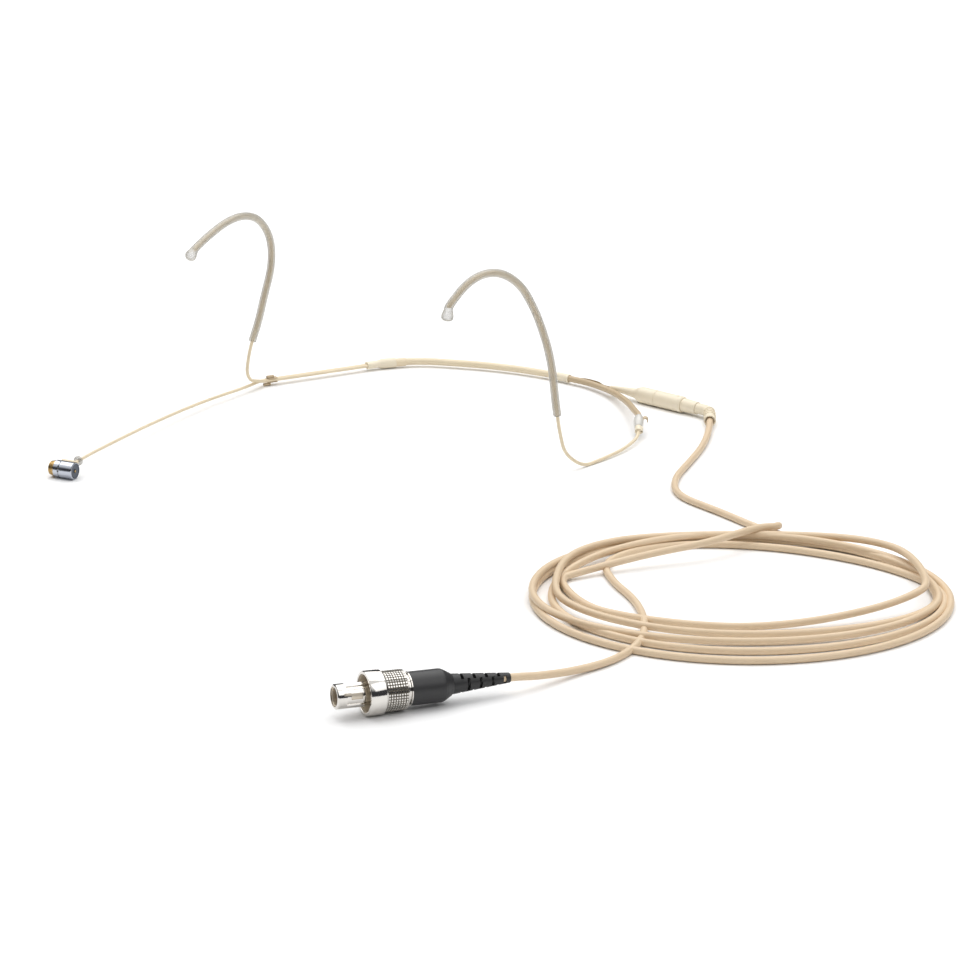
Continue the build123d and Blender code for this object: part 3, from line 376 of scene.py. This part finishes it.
@dataclass(frozen=True)
class Finish:
    """One finish of the headset: its tones, gloss and fine relief.

    A clear wall has an alpha below 1, and rises to rim_alpha where it is seen at a glancing angle:
    glance_blend is the shader's blend, and the rise runs from clear_until to dense_from.
    """

    name: str
    tone: Colour
    worn_tone: Colour
    roughness: float
    surface: Surface = Surface.MOULDED
    spread: float = 0.12
    patch_scale: float = 180.0
    grain_scale: float = 4000.0
    grain_depth: float = 0.004
    metallic: float = 0.0
    alpha: float = 1.0
    rim_alpha: float = 1.0
    glance_blend: float = 0.42
    clear_until: float = 0.06
    dense_from: float = 0.62
    coat: float = 0.0
    coat_roughness: float = 0.12
    ior: float = 1.45
    relief_strength: float = 0.6
    axis: Point = (1.0, 0.0, 0.0)

    def make(self) -> bpy.types.Material:
        """Build the finish's node tree, or return it if it exists."""
        name = f"{self.name}_finish"
        if name in bpy.data.materials:
            return bpy.data.materials[name]
        material = bpy.data.materials.new(name)
        material.use_nodes = True
        nodes, links = material.node_tree.nodes, material.node_tree.links
        shader = nodes["Principled BSDF"]
        shader.inputs["Metallic"].default_value = self.metallic
        shader.inputs["IOR"].default_value = self.ior
        shader.inputs["Alpha"].default_value = self.alpha
        shader.inputs["Coat Weight"].default_value = self.coat
        shader.inputs["Coat Roughness"].default_value = self.coat_roughness
        place = nodes.new("ShaderNodeTexCoord")
        drift = nodes.new("ShaderNodeGroup")
        drift.node_tree = Effects.drift()
        drift.inputs["Tone"].default_value = self.tone
        drift.inputs["Worn Tone"].default_value = self.worn_tone
        drift.inputs["Scale"].default_value = self.patch_scale
        drift.inputs["Roughness"].default_value = self.roughness
        drift.inputs["Spread"].default_value = self.spread
        links.new(place.outputs["Object"], drift.inputs["Vector"])
        links.new(drift.outputs["Colour"], shader.inputs["Base Color"])
        links.new(drift.outputs["Roughness"], shader.inputs["Roughness"])
        relief = nodes.new("ShaderNodeGroup")
        if self.surface is Surface.LATHE:
            relief.node_tree = Effects.lathe_marks()
            relief.inputs["Axis"].default_value = Vector(self.axis).normalized()
            relief.inputs["Rings"].default_value = self.grain_scale
        else:
            relief.node_tree = Effects.skin()
            relief.inputs["Grain Scale"].default_value = self.grain_scale
        bump = nodes.new("ShaderNodeBump")
        bump.inputs["Strength"].default_value = self.relief_strength
        bump.inputs["Distance"].default_value = self.grain_depth * MM
        links.new(place.outputs["Object"], relief.inputs["Vector"])
        links.new(relief.outputs["Height"], bump.inputs["Height"])
        links.new(bump.outputs["Normal"], shader.inputs["Normal"])
        if self.rim_alpha > self.alpha:
            self.thicken_rim(nodes, links, shader)
        return material

    def thicken_rim(
        self, nodes: bpy.types.Nodes, links: bpy.types.NodeLinks, shader: bpy.types.ShaderNode
    ) -> None:
        """Make a clear wall look denser where it is seen at a glancing angle.

        Args:
            nodes: the material's nodes.
            links: the material's links.
            shader: the surface shader that takes the density as its alpha.
        """
        glance = nodes.new("ShaderNodeLayerWeight")
        glance.inputs["Blend"].default_value = self.glance_blend
        density = nodes.new("ShaderNodeMapRange")
        density.inputs["From Min"].default_value = self.clear_until
        density.inputs["From Max"].default_value = self.dense_from
        density.inputs["To Min"].default_value = self.alpha
        density.inputs["To Max"].default_value = self.rim_alpha
        links.new(glance.outputs["Facing"], density.inputs["Value"])
        links.new(density.outputs["Result"], shader.inputs["Alpha"])

    def dress(self, *pieces: bpy.types.Object) -> None:
        """Give pieces this finish in every material slot."""
        material = self.make()
        for piece in pieces:
            if not piece.material_slots:
                piece.data.materials.append(material)
            for slot in piece.material_slots:
                slot.material = material


@dataclass(frozen=True)
class Palette:
    """All finishes of the headset."""

    coat: Finish = Finish("beige_coat", linear(236, 221, 192), linear(228, 211, 179), 0.32)
    jacket: Finish = Finish(
        "cable_jacket", linear(225, 203, 173), linear(216, 192, 160), 0.42, grain_depth=0.006
    )
    soft: Finish = Finish("beige_rubber", linear(200, 180, 149), linear(190, 168, 135), 0.42)
    cream: Finish = Finish("cream_plastic", linear(241, 230, 207), linear(235, 223, 198), 0.36)
    cream_soft: Finish = Finish("cream_rubber", linear(240, 229, 206), linear(234, 222, 197), 0.45)
    silicone: Finish = Finish(
        "silicone", linear(196, 192, 183), linear(188, 183, 172), 0.2,
        ior=1.41, spread=0.05, grain_depth=0.001, alpha=0.3, rim_alpha=0.9,
    )
    barrel: Finish = Finish(
        "clear_barrel", linear(226, 224, 218), linear(218, 215, 208), 0.16,
        spread=0.05, alpha=0.6, rim_alpha=0.95, coat=0.4,
    )
    clear: Finish = Finish(
        "clear_resin", linear(188, 184, 176), linear(178, 172, 160), 0.08,
        ior=1.48, spread=0.04, alpha=0.4, rim_alpha=0.95, coat=0.5,
    )
    lead: Finish = Finish("dark_lead", linear(150, 124, 84), linear(128, 104, 68), 0.35)
    steel: Finish = Finish(
        "steel", linear(196, 200, 208), linear(178, 183, 193), 0.16, Surface.LATHE, 0.06,
        metallic=1.0, grain_depth=0.002, axis=CAPSULE_DIRECTION,
    )
    face: Finish = Finish(
        "dark_face", linear(96, 102, 113), linear(84, 90, 100), 0.45,
        metallic=0.5, grain_scale=9000.0, grain_depth=0.01,
    )
    gold: Finish = Finish(
        "gold", linear(192, 164, 114), linear(172, 143, 94), 0.3, Surface.LATHE, 0.08,
        metallic=1.0, grain_depth=0.002, axis=CAPSULE_DIRECTION,
    )
    nickel: Finish = Finish(
        "nickel", linear(222, 219, 214), linear(210, 206, 200), 0.1, Surface.LATHE, 0.05,
        metallic=1.0, grain_depth=0.0008, axis=PLUG_DIRECTION,
    )
    satin_nickel: Finish = Finish(
        "satin_nickel", linear(226, 216, 200), linear(216, 205, 188), 0.4, Surface.LATHE, 0.08,
        metallic=0.7, grain_depth=0.003, axis=PLUG_DIRECTION,
    )
    # groove: the collar's nickel made darker for the knurl's groove flanks; the darker tone is painted
    # shade in the grooves, the higher roughness is real
    groove: Finish = Finish(
        "nickel_groove_painted_shade", linear(158, 154, 146), linear(138, 134, 126), 0.35, metallic=0.9
    )
    liner: Finish = Finish(
        "mouth_liner", linear(226, 214, 194), linear(216, 203, 181), 0.5, metallic=0.15
    )
    spring: Finish = Finish(
        "spring_steel", linear(170, 172, 176), linear(150, 152, 156), 0.28, metallic=1.0
    )
    black: Finish = Finish(
        "black_plastic", linear(50, 50, 51), linear(44, 44, 45), 0.4, grain_depth=0.01
    )
    black_soft: Finish = Finish(
        "black_rubber", linear(43, 43, 44), linear(37, 37, 38), 0.42, grain_depth=0.012
    )
    board: Finish = Finish("board", linear(60, 120, 80), linear(50, 104, 70), 0.45)
    film: Finish = Finish("film", linear(210, 206, 190), linear(200, 195, 178), 0.3)


FINISHES = Palette()


# ---------------------------------------------------------------- the cable


@dataclass(frozen=True)
class Pass:
    """Where a turn of the coil crosses one of the coil's four main directions."""

    distance: float
    height: float
    fullness: float = 2.0


@dataclass
class CableRoute:
    """The cable's way from the connector's boot through the coil to the end plug."""

    coil_centre: Point = (134.66, -34.75, 0.0)
    coil_right: Point = (0.767, 0.642, 0.0)
    coil_back: Point = (-0.642, 0.767, 0.0)
    swell: float = 1.015
    lead: Sequence[Point] = (
        (53.8, 62.6, 1.7), (58.0, 57.0, 1.2), (64.6, 45.8, 0.82), (70.1, 32.8, 0.82),
        (74.8, 21.0, 0.82), (82.6, 11.4, 0.82), (96.6, 8.4, 0.82), (108.6, 4.9, 0.82),
        (116.0, 3.4, 0.82),
    )
    first_turns: Sequence[Pass] = (
        Pass(39.4, 0.8), Pass(41.0, 0.9), Pass(23.2, 0.9), Pass(38.4, 2.6, 2.8), Pass(36.0, 2.4, 3.0),
        Pass(38.8, 4.0, 1.7), Pass(18.8, 0.9, 1.7), Pass(35.4, 0.9),
    )
    hitch: Sequence[Point] = (
        (98.6, -50.9, 1.0), (100.2, -44.9, 1.3), (103.2, -37.0, 2.0), (107.6, -28.6, 3.0),
        (113.6, -19.2, 4.0), (115.6, -10.8, 4.3), (115.7, -2.6, 3.9), (117.6, 2.2, 3.2),
        (115.7, 5.2, 2.4), (113.1, 2.2, 1.2), (112.6, -1.6, 0.82),
    )
    second_turns: Sequence[Pass] = (
        Pass(39.4, 0.8), Pass(43.4, 2.4, 2.2), Pass(27.6, 0.9), Pass(41.4, 1.5), Pass(38.0, 0.9),
        Pass(43.4, 0.9), Pass(38.4, 0.82), Pass(43.8, 0.9), Pass(36.4, 2.4), Pass(39.4, 0.9),
        Pass(33.0, 0.82), Pass(42.6, 0.82, 1.7), Pass(33.2, 0.9),
    )
    tail: Sequence[Point] = (
        (113.5, -8.0, 0.82), (106.2, -13.7, 0.82), (101.3, -20.5, 0.82), (98.7, -29.0, 0.82),
        (100.2, -37.2, 0.82), (108.6, -44.4, 0.82), (119.3, -50.3, 0.82), (129.2, -59.6, 0.82),
        (136.1, -70.2, 0.82), (138.2, -81.3, 0.82), (136.4, -91.2, 1.0), (134.7, -101.6, 2.4),
        (133.6, -105.9, 3.3), (131.9, -109.2, 3.43),
    )
    steps: int = 4

    def turns(self, passes: Sequence[Pass], heading: int, first: int) -> list[Point]:
        """Lay loose turns through their passes, quarter by quarter.

        Args:
            passes: crossings of the back, then every quarter turn on.
            heading: 1 for anticlockwise from above, -1 for clockwise.
            first: how many points to leave out at the start.

        Returns:
            The route's points in millimetres.
        """
        points: list[Point] = []
        for quarter, (here, there) in enumerate(zip(passes, passes[1:])):
            start = 90 + heading * 90 * quarter
            sideways = (start // 90) % 2 == 0
            across = here.distance if sideways else there.distance
            along = there.distance if sideways else here.distance
            for step in range(self.steps):
                share = step / self.steps
                angle = math.radians(start + heading * 90 * share)
                power = 2 / here.fullness
                right = across * math.copysign(abs(math.cos(angle)) ** power, math.cos(angle))
                back = along * math.copysign(abs(math.sin(angle)) ** power, math.sin(angle))
                ease = share * share * (3 - 2 * share)
                height = here.height + (there.height - here.height) * ease
                points.append(self.spread(right, back, height))
        return points[first:]

    def spread(self, right: float, back: float, height: float) -> Point:
        """Turn distances to the coil's right and back into a point of the frame."""
        place = (
            Vector(self.coil_centre)
            + Vector(self.coil_right) * right * self.swell
            + Vector(self.coil_back) * back * self.swell
        )
        return (place.x, place.y, height)

    def points(self) -> list[Point]:
        """Return the whole route, from inside the boot to inside the plug."""
        return [
            *self.lead,
            *self.turns(self.first_turns, -1, 2),
            *self.hitch,
            *self.turns(self.second_turns, 1, 1),
            *self.tail,
        ]


@dataclass
class Cable:
    """The thin cable with its coil."""

    radius: float = 0.8
    length: float = 1400.0
    exit: Point = (55.3, 60.6, 1.55)
    route: CableRoute = field(default_factory=CableRoute)

    def build(self, with_pieces: Sequence[bpy.types.Object]) -> bpy.types.Object:
        """Args:
            with_pieces: the separate pieces that the cable carries; not used.

        Returns:
            The cable's curve object.
        """
        points = [Vector(place) for place in self.route.points()]
        piece = Bench.tube("cable", points, [self.radius] * len(points), rounds=5, steps=6)
        FINISHES.jacket.dress(piece)
        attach(piece, "frame")
        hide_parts("cable_lead", "cable_coil", "cable_crossing", "cable_tail", "plug_cable_end")
        LOG.info("cable: %d route points", len(points))
        return piece


# ---------------------------------------------------------------- ear hooks


@dataclass
class HookSleeve:
    """The silicone sleeve of one ear hook, with its drop-shaped tip.

    Both the sleeve and the wire inside start with a narrower lip and reach full size by their steps,
    in millimetres. The swell lists (station from the tip, share of its radius). The neck is a share
    of the sleeve's radius. The wire ends at wire_reach, a share of the way from the last bend to the
    tip.
    """

    name: str
    node: str
    body: str
    points: Sequence[Point]
    radius: float = 0.93
    tip_radius: float = 1.36
    lip_steps: tuple[float, float] = (0.25, 0.9)
    lip_share: float = 0.9
    core_radius: float = 0.55
    core_steps: tuple[float, float] = (0.1, 0.4)
    core_lip_share: float = 0.8
    wire_reach: float = 0.15
    smooth_below: float = 50.0
    neck_station: float = -2.3
    neck_share: float = 1.15
    swell: Outline = (
        (-1.6, 0.95), (-1.0, 1.03), (-0.5, 0.96), (-0.12, 0.74), (0.02, 0.4), (0.05, 0.02),
    )

    def draw(self, name: str, places: Sequence[Vector], sizes: Sequence[float]) -> bpy.types.Object:
        """Make one smooth tapered tube as a mesh.

        Args:
            name: the piece's name.
            places: points of its centre line, in millimetres.
            sizes: its radius at every point, in millimetres.

        Returns:
            The new mesh object, riding the hook's body.
        """
        piece = Bench.tube(name, places, sizes, rounds=8, steps=10)
        Bench.pick(piece)
        bpy.ops.object.convert(target="MESH")
        piece = bpy.context.object
        bpy.ops.object.shade_smooth_by_angle(angle=math.radians(self.smooth_below))
        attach(piece, self.body)
        return piece

    def build(self) -> None:
        """Make the sleeve with its swelling tip, and the coated wire's thicker part inside it."""
        tip = Vector(self.points[-1])
        ahead = (tip - Vector(self.points[-2])).normalized()
        start = Vector(self.points[0])
        inward = (Vector(self.points[1]) - start).normalized()
        middle = [Vector(place) for place in self.points[1:-1]]
        places = [start, *(start + inward * step for step in self.lip_steps), *middle]
        sizes = [self.radius * self.lip_share] + [self.radius] * (len(places) - 1)
        places.append(tip + ahead * self.neck_station)
        sizes.append(self.radius * self.neck_share)
        for station, share in self.swell:
            places.append(tip + ahead * station)
            sizes.append(self.tip_radius * share)
        sleeve = self.draw(self.name, places, sizes)
        FINISHES.silicone.dress(sleeve)
        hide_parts(self.node)
        end = middle[-1].lerp(tip, self.wire_reach)
        places = [*(start + inward * step for step in self.core_steps), *middle, end]
        sizes = [self.core_radius * self.core_lip_share] + [self.core_radius] * (len(places) - 1)
        core = self.draw(self.name + "_core", places, sizes)
        FINISHES.coat.dress(core)
        LOG.info("%s: %d sections", self.name, len(places))


@dataclass
class EarHooks:
    """Both sprung ear hooks: coated wire and silicone sleeve."""

    left: Sequence[Point] = (
        (50.6, 8.55, 14.0), (50.45, 7.9, 18.0), (50.3, 6.8, 26.6), (49.9, 4.4, 34.2),
        (49.3, 1.4, 41.0), (48.6, -2.7, 47.2), (47.5, -9.3, 51.2), (46.2, -16.6, 50.7),
        (45.1, -22.9, 45.6), (44.9, -23.5, 42.1),
    )
    right: Sequence[Point] = (
        (-49.79, 13.72, 12.5), (-50.4, 16.7, 16.7), (-50.9, 19.6, 22.9), (-51.5, 23.1, 29.5),
        (-51.4, 22.8, 36.6), (-50.6, 18.0, 42.4), (-49.4, 11.3, 44.8), (-48.2, 4.2, 44.8),
        (-47.0, -2.6, 43.3), (-45.7, -9.5, 41.2), (-45.2, -12.3, 39.2),
    )

    def build(self, nodes: dict[str, bpy.types.Object]) -> None:
        """Make both sleeves and dress both wires."""
        HookSleeve("left_hook_silicone", "near_hook_sleeve", "left_hook", self.left).build()
        HookSleeve("right_hook_silicone", "far_hook_sleeve", "right_hook", self.right).build()
        FINISHES.coat.dress(nodes["near_hook_wire"], nodes["far_hook_wire"])
        LOG.info("ear hooks done")


# ---------------------------------------------------------------- boom and capsule


@dataclass
class BoomAndCapsule:
    """The thin boom and the small capsule at its end."""

    start: Point = (-37.3, -66.8, 2.0)
    direction: Point = CAPSULE_DIRECTION

    def build(self, nodes: dict[str, bpy.types.Object]) -> None:
        """Dress the boom, its clear collar and the capsule's stack, and add the pin in its face."""
        axis = Axis(self.start, self.direction)
        FINISHES.coat.dress(nodes["boom_tube"], nodes["capsule_arm"])
        FINISHES.lead.dress(nodes["boom_lead"])
        FINISHES.clear.dress(nodes["boom_collar"])
        FINISHES.steel.dress(nodes["capsule_housing"])
        FINISHES.face.dress(nodes["capsule_face_plate"])
        FINISHES.gold.dress(
            nodes["capsule_rear_cap"], nodes["capsule_vent_ring"], nodes["capsule_diaphragm_ring"],
            nodes["capsule_backplate"], nodes["capsule_centre_pin"],
        )
        pin = Turned(
            "face_pin", axis, ((6.0, 0.28), (6.42, 0.28), (6.44, 0.2)), sides=32, hollow=False, edge=0.01
        ).build()
        FINISHES.gold.dress(pin)
        ring = Turned(
            "face_pin_ring", axis, ((6.2, 0.3), (6.41, 0.3), (6.41, 0.46), (6.2, 0.46)), sides=32
        ).build()
        FINISHES.black.dress(ring)
        for piece, slot in ((pin, "gold"), (ring, "black_plastic")):
            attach(piece, "boom")
        FINISHES.film.dress(nodes["capsule_diaphragm"])
        FINISHES.black.dress(nodes["capsule_spacer"], nodes["capsule_insulator"])
        FINISHES.board.dress(nodes["capsule_board"])
        LOG.info("boom and capsule done")


# ---------------------------------------------------------------- neckband


@dataclass
class Neckband:
    """The neckband with its sleeves, ferrules and both clips."""

    def build(self, nodes: dict[str, bpy.types.Object]) -> None:
        """Dress the neckband's pieces."""
        FINISHES.coat.dress(nodes["band_tube"], nodes["front_ferrule"])
        FINISHES.soft.dress(nodes["rear_soft_tube"])
        FINISHES.spring.dress(nodes["band_core"])
        FINISHES.lead.dress(nodes["signal_lead"])
        FINISHES.cream_soft.dress(nodes["junction_sleeve"], nodes["near_end_ring"])
        FINISHES.cream.dress(nodes["rear_ferrule"])
        FINISHES.soft.dress(nodes["far_clip"], nodes["cable_keeper"])
        FINISHES.barrel.dress(nodes["near_clip_barrel"])
        LOG.info("neckband done")


# ---------------------------------------------------------------- in-line connector


@dataclass
class InlineConnector:
    """The slim in-line connector between headset and cable."""

    def build(self, nodes: dict[str, bpy.types.Object]) -> list[bpy.types.Object]:
        """Dress the connector and return the pieces that belong to the cable."""
        FINISHES.cream.dress(nodes["socket_shell"], nodes["coupling_ring"], nodes["back_shell"])
        FINISHES.cream_soft.dress(nodes["strain_relief_cone"], nodes["elbow_boot"])
        FINISHES.black.dress(nodes["socket_insulator"], nodes["plug_insert"])
        FINISHES.gold.dress(nodes["socket_pin"])
        LOG.info("connector done")
        return [nodes["elbow_boot"]]


# ---------------------------------------------------------------- end plug


@dataclass
class EndPlug:
    """The small screened plug at the cable's far end."""

    axis: Axis
    grip_start: float = 22.5
    grip_end: float = 26.7
    grip_radius: float = 3.84
    tooth: float = 0.17
    groove: float = 0.11
    rim_radius: float = 4.42
    columns: int = 8
    rows: int = 44
    sides: int = 96

    def knurl(self) -> bpy.types.Object:
        """Cut the collar's grip: a lattice of small blunt pyramids.

        Returns:
            The knurled sleeve, in its place.
        """
        step = (self.grip_end - self.grip_start) / self.columns
        piece = Bench.ring("collar_knurl", self.rows, self.grip_radius, self.grip_start)
        for column in range(self.columns):
            here = (self.grip_start + column * step, self.grip_radius)
            Bench.pull(here, (here[0] + step, self.grip_radius))
        bpy.ops.mesh.select_mode(type="FACE")
        bpy.ops.mesh.select_all(action="SELECT")
        bpy.ops.mesh.normals_make_consistent(inside=False)
        bpy.ops.mesh.inset(thickness=self.groove * MM, depth=self.tooth * MM, use_individual=True)
        bpy.ops.object.mode_set(mode="OBJECT")
        # the groove flanks take the darker nickel, which is painted shade in the grooves; the tooth tops
        # take plain nickel
        FINISHES.groove.dress(piece)
        piece.data.materials.append(FINISHES.nickel.make())
        for face in piece.data.polygons:
            face.material_index = 1 if face.select else 0
        Bench.clear()
        Bench.pick(piece)
        bpy.ops.object.shade_flat()
        Bench.place(piece, self.axis.matrix())
        return piece

    def collar(self) -> bpy.types.Object:
        """Turn the release collar's smooth body with its deep mouth."""
        start, end = self.grip_start, self.grip_end
        rear = ((22.2, 3.12), (22.2, 3.84), (22.3, 3.94), (start, 3.94))
        seat = ((start + 0.02, 3.72), (end - 0.02, 3.72))
        rim = (
            (end, 4.02), (end + 0.22, 4.05), (end + 0.3, 4.32), (end + 0.42, self.rim_radius),
            (30.08, self.rim_radius), (30.3, 4.3), (30.3, 3.78), (30.1, 3.74),
        )
        mouth = ((27.4, 3.74), (27.4, 2.66), (26.5, 2.66), (26.5, 3.12))
        return Turned("collar_body", self.axis, (*rear, *seat, *rim, *mouth), self.sides).build()

    def build(self, nodes: dict[str, bpy.types.Object]) -> list[bpy.types.Object]:
        """Make the collar, dress the plug and return every piece the cable carries."""
        body = self.collar()
        knurl = self.knurl()
        FINISHES.nickel.dress(body)
        liner = Turned("collar_liner", self.axis, (
            (27.42, 2.7), (27.62, 2.72), (27.62, 3.5), (27.75, 3.6), (30.0, 3.6), (30.05, 3.73),
            (27.42, 3.73),
        ), self.sides).build()
        FINISHES.liner.dress(liner)
        for piece in (body, knurl, liner):
            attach(piece, "collar")
        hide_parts("release_collar")
        FINISHES.nickel.dress(nodes["nut_rim"], nodes["plug_body"], nodes["plug_nose"])
        FINISHES.black.dress(nodes["plug_nut"], nodes["plug_collet"])
        FINISHES.black_soft.dress(nodes["plug_bend_relief"])
        FINISHES.satin_nickel.dress(nodes["plug_insulator"])
        FINISHES.spring.dress(nodes["collar_spring"])
        FINISHES.gold.dress(nodes["plug_contact_a"], nodes["plug_contact_b"], nodes["plug_contact_c"])
        LOG.info("end plug done")
        carried = (
            "nut_rim", "plug_body", "plug_nose", "plug_nut", "plug_collet", "plug_bend_relief",
            "plug_insulator", "collar_spring", "plug_contact_a", "plug_contact_b", "plug_contact_c",
        )
        return [body, knurl, liner, *(nodes[name] for name in carried)]


# ---------------------------------------------------------------- studio


@dataclass
class Studio:
    """Pale floor, soft lights and the camera."""

    eye: Point = (586.3, -655.3, 270.0)
    target: Point = (46.5, -10.5, 0.0)
    lens: float = 143.27
    sensor: float = 36.0
    nearest: float = 0.01
    farthest: float = 50.0
    floor_size: float = 8.0
    floor_tone: Colour = (0.93, 0.93, 0.93, 1)
    dark_until: float = 0.40
    dark_tone: Colour = (0.05, 0.05, 0.055, 1)
    white_from: float = 0.72
    world_strength: float = 0.95

    def camera(self) -> None:
        """Set up the camera."""
        data = bpy.data.cameras.new("camera")
        data.lens = self.lens
        data.sensor_width = self.sensor
        data.clip_start = self.nearest
        data.clip_end = self.farthest
        view = bpy.data.objects.new("camera", data)
        bpy.context.scene.collection.objects.link(view)
        view.location = Vector(self.eye) * MM
        look = (Vector(self.target) - Vector(self.eye)).to_track_quat("-Z", "Y")
        view.rotation_euler = look.to_euler()
        bpy.context.scene.camera = view

    def floor(self) -> None:
        """Lay the plain pale floor."""
        Bench.clear()
        bpy.ops.mesh.primitive_plane_add(size=self.floor_size, location=(0, 0, 0))
        floor = bpy.context.object
        floor.name = "floor"
        material = bpy.data.materials.new("pale_floor")
        material.use_nodes = True
        shader = material.node_tree.nodes["Principled BSDF"]
        shader.inputs["Base Color"].default_value = self.floor_tone
        shader.inputs["Roughness"].default_value = 0.9
        shader.inputs["Specular IOR Level"].default_value = 0.1
        floor.data.materials.append(material)

    def light(self, name: str, place: Point, size: float, power: float) -> None:
        """Hang one square softbox that faces the headset.

        Args:
            name: the light's name.
            place: position in metres.
            size: side of the softbox in metres.
            power: power in watts.
        """
        data = bpy.data.lights.new(name, "AREA")
        data.shape = "SQUARE"
        data.size = size
        data.energy = power
        lamp = bpy.data.objects.new(name, data)
        bpy.context.scene.collection.objects.link(lamp)
        lamp.location = place
        lamp.rotation_euler = (-Vector(place)).to_track_quat("-Z", "Y").to_euler()

    def world(self) -> None:
        """Make the surroundings: white overhead, fading to nearly black low down."""
        world = bpy.data.worlds.new("studio")
        bpy.context.scene.world = world
        world.use_nodes = True
        nodes, links = world.node_tree.nodes, world.node_tree.links
        place = nodes.new("ShaderNodeTexCoord")
        split = nodes.new("ShaderNodeSeparateXYZ")
        ramp = nodes.new("ShaderNodeValToRGB")
        ramp.color_ramp.elements[0].position = self.dark_until
        ramp.color_ramp.elements[0].color = self.dark_tone
        ramp.color_ramp.elements[1].position = self.white_from
        ramp.color_ramp.elements[1].color = (1, 1, 1, 1)
        links.new(place.outputs["Generated"], split.inputs[0])
        links.new(split.outputs["Z"], ramp.inputs["Fac"])
        links.new(ramp.outputs["Color"], nodes["Background"].inputs["Color"])
        nodes["Background"].inputs["Strength"].default_value = self.world_strength

    def build(self) -> None:
        """Set up camera, floor, lights and surroundings."""
        self.camera()
        self.floor()
        self.world()
        self.light("key", (-0.6, 0.5, 1.7), 2.6, 33.0)
        self.light("front", (1.3, -0.2, 1.2), 1.2, 5.0)
        bpy.context.scene.view_settings.view_transform = "Standard"
        LOG.info("studio done")


# ---------------------------------------------------------------- whole headset


def mount_axis(frame: dict, name: str, back: float) -> Axis:
    """Return a mount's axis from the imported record, moved back along itself.

    Args:
        name: the mount's name.
        back: how far behind the mount the axis starts, in millimetres.

    Returns:
        The axis in millimetres.
    """
    for mount in frame["record"]["mounts"]:
        if mount["name"] == name:
            direction = Vector(mount["axis"]).normalized()
            origin = Vector(mount["pos_m"]) / MM - direction * back
            return Axis(tuple(origin), tuple(direction))
    raise LookupError(name)


def main() -> None:
    """Build the headset's looks."""
    logging.basicConfig(level=logging.INFO, format="%(name)s: %(message)s")
    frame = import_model()
    nodes = frame["nodes"]
    Studio().build()
    BoomAndCapsule().build(nodes)
    EarHooks().build(nodes)
    Neckband().build(nodes)
    carried = InlineConnector().build(nodes)
    carried += EndPlug(mount_axis(frame, "plug_nose", NOSE_MOUNT_STATION)).build(nodes)
    Cable().build(carried)


if __name__ == "__main__":
    main()
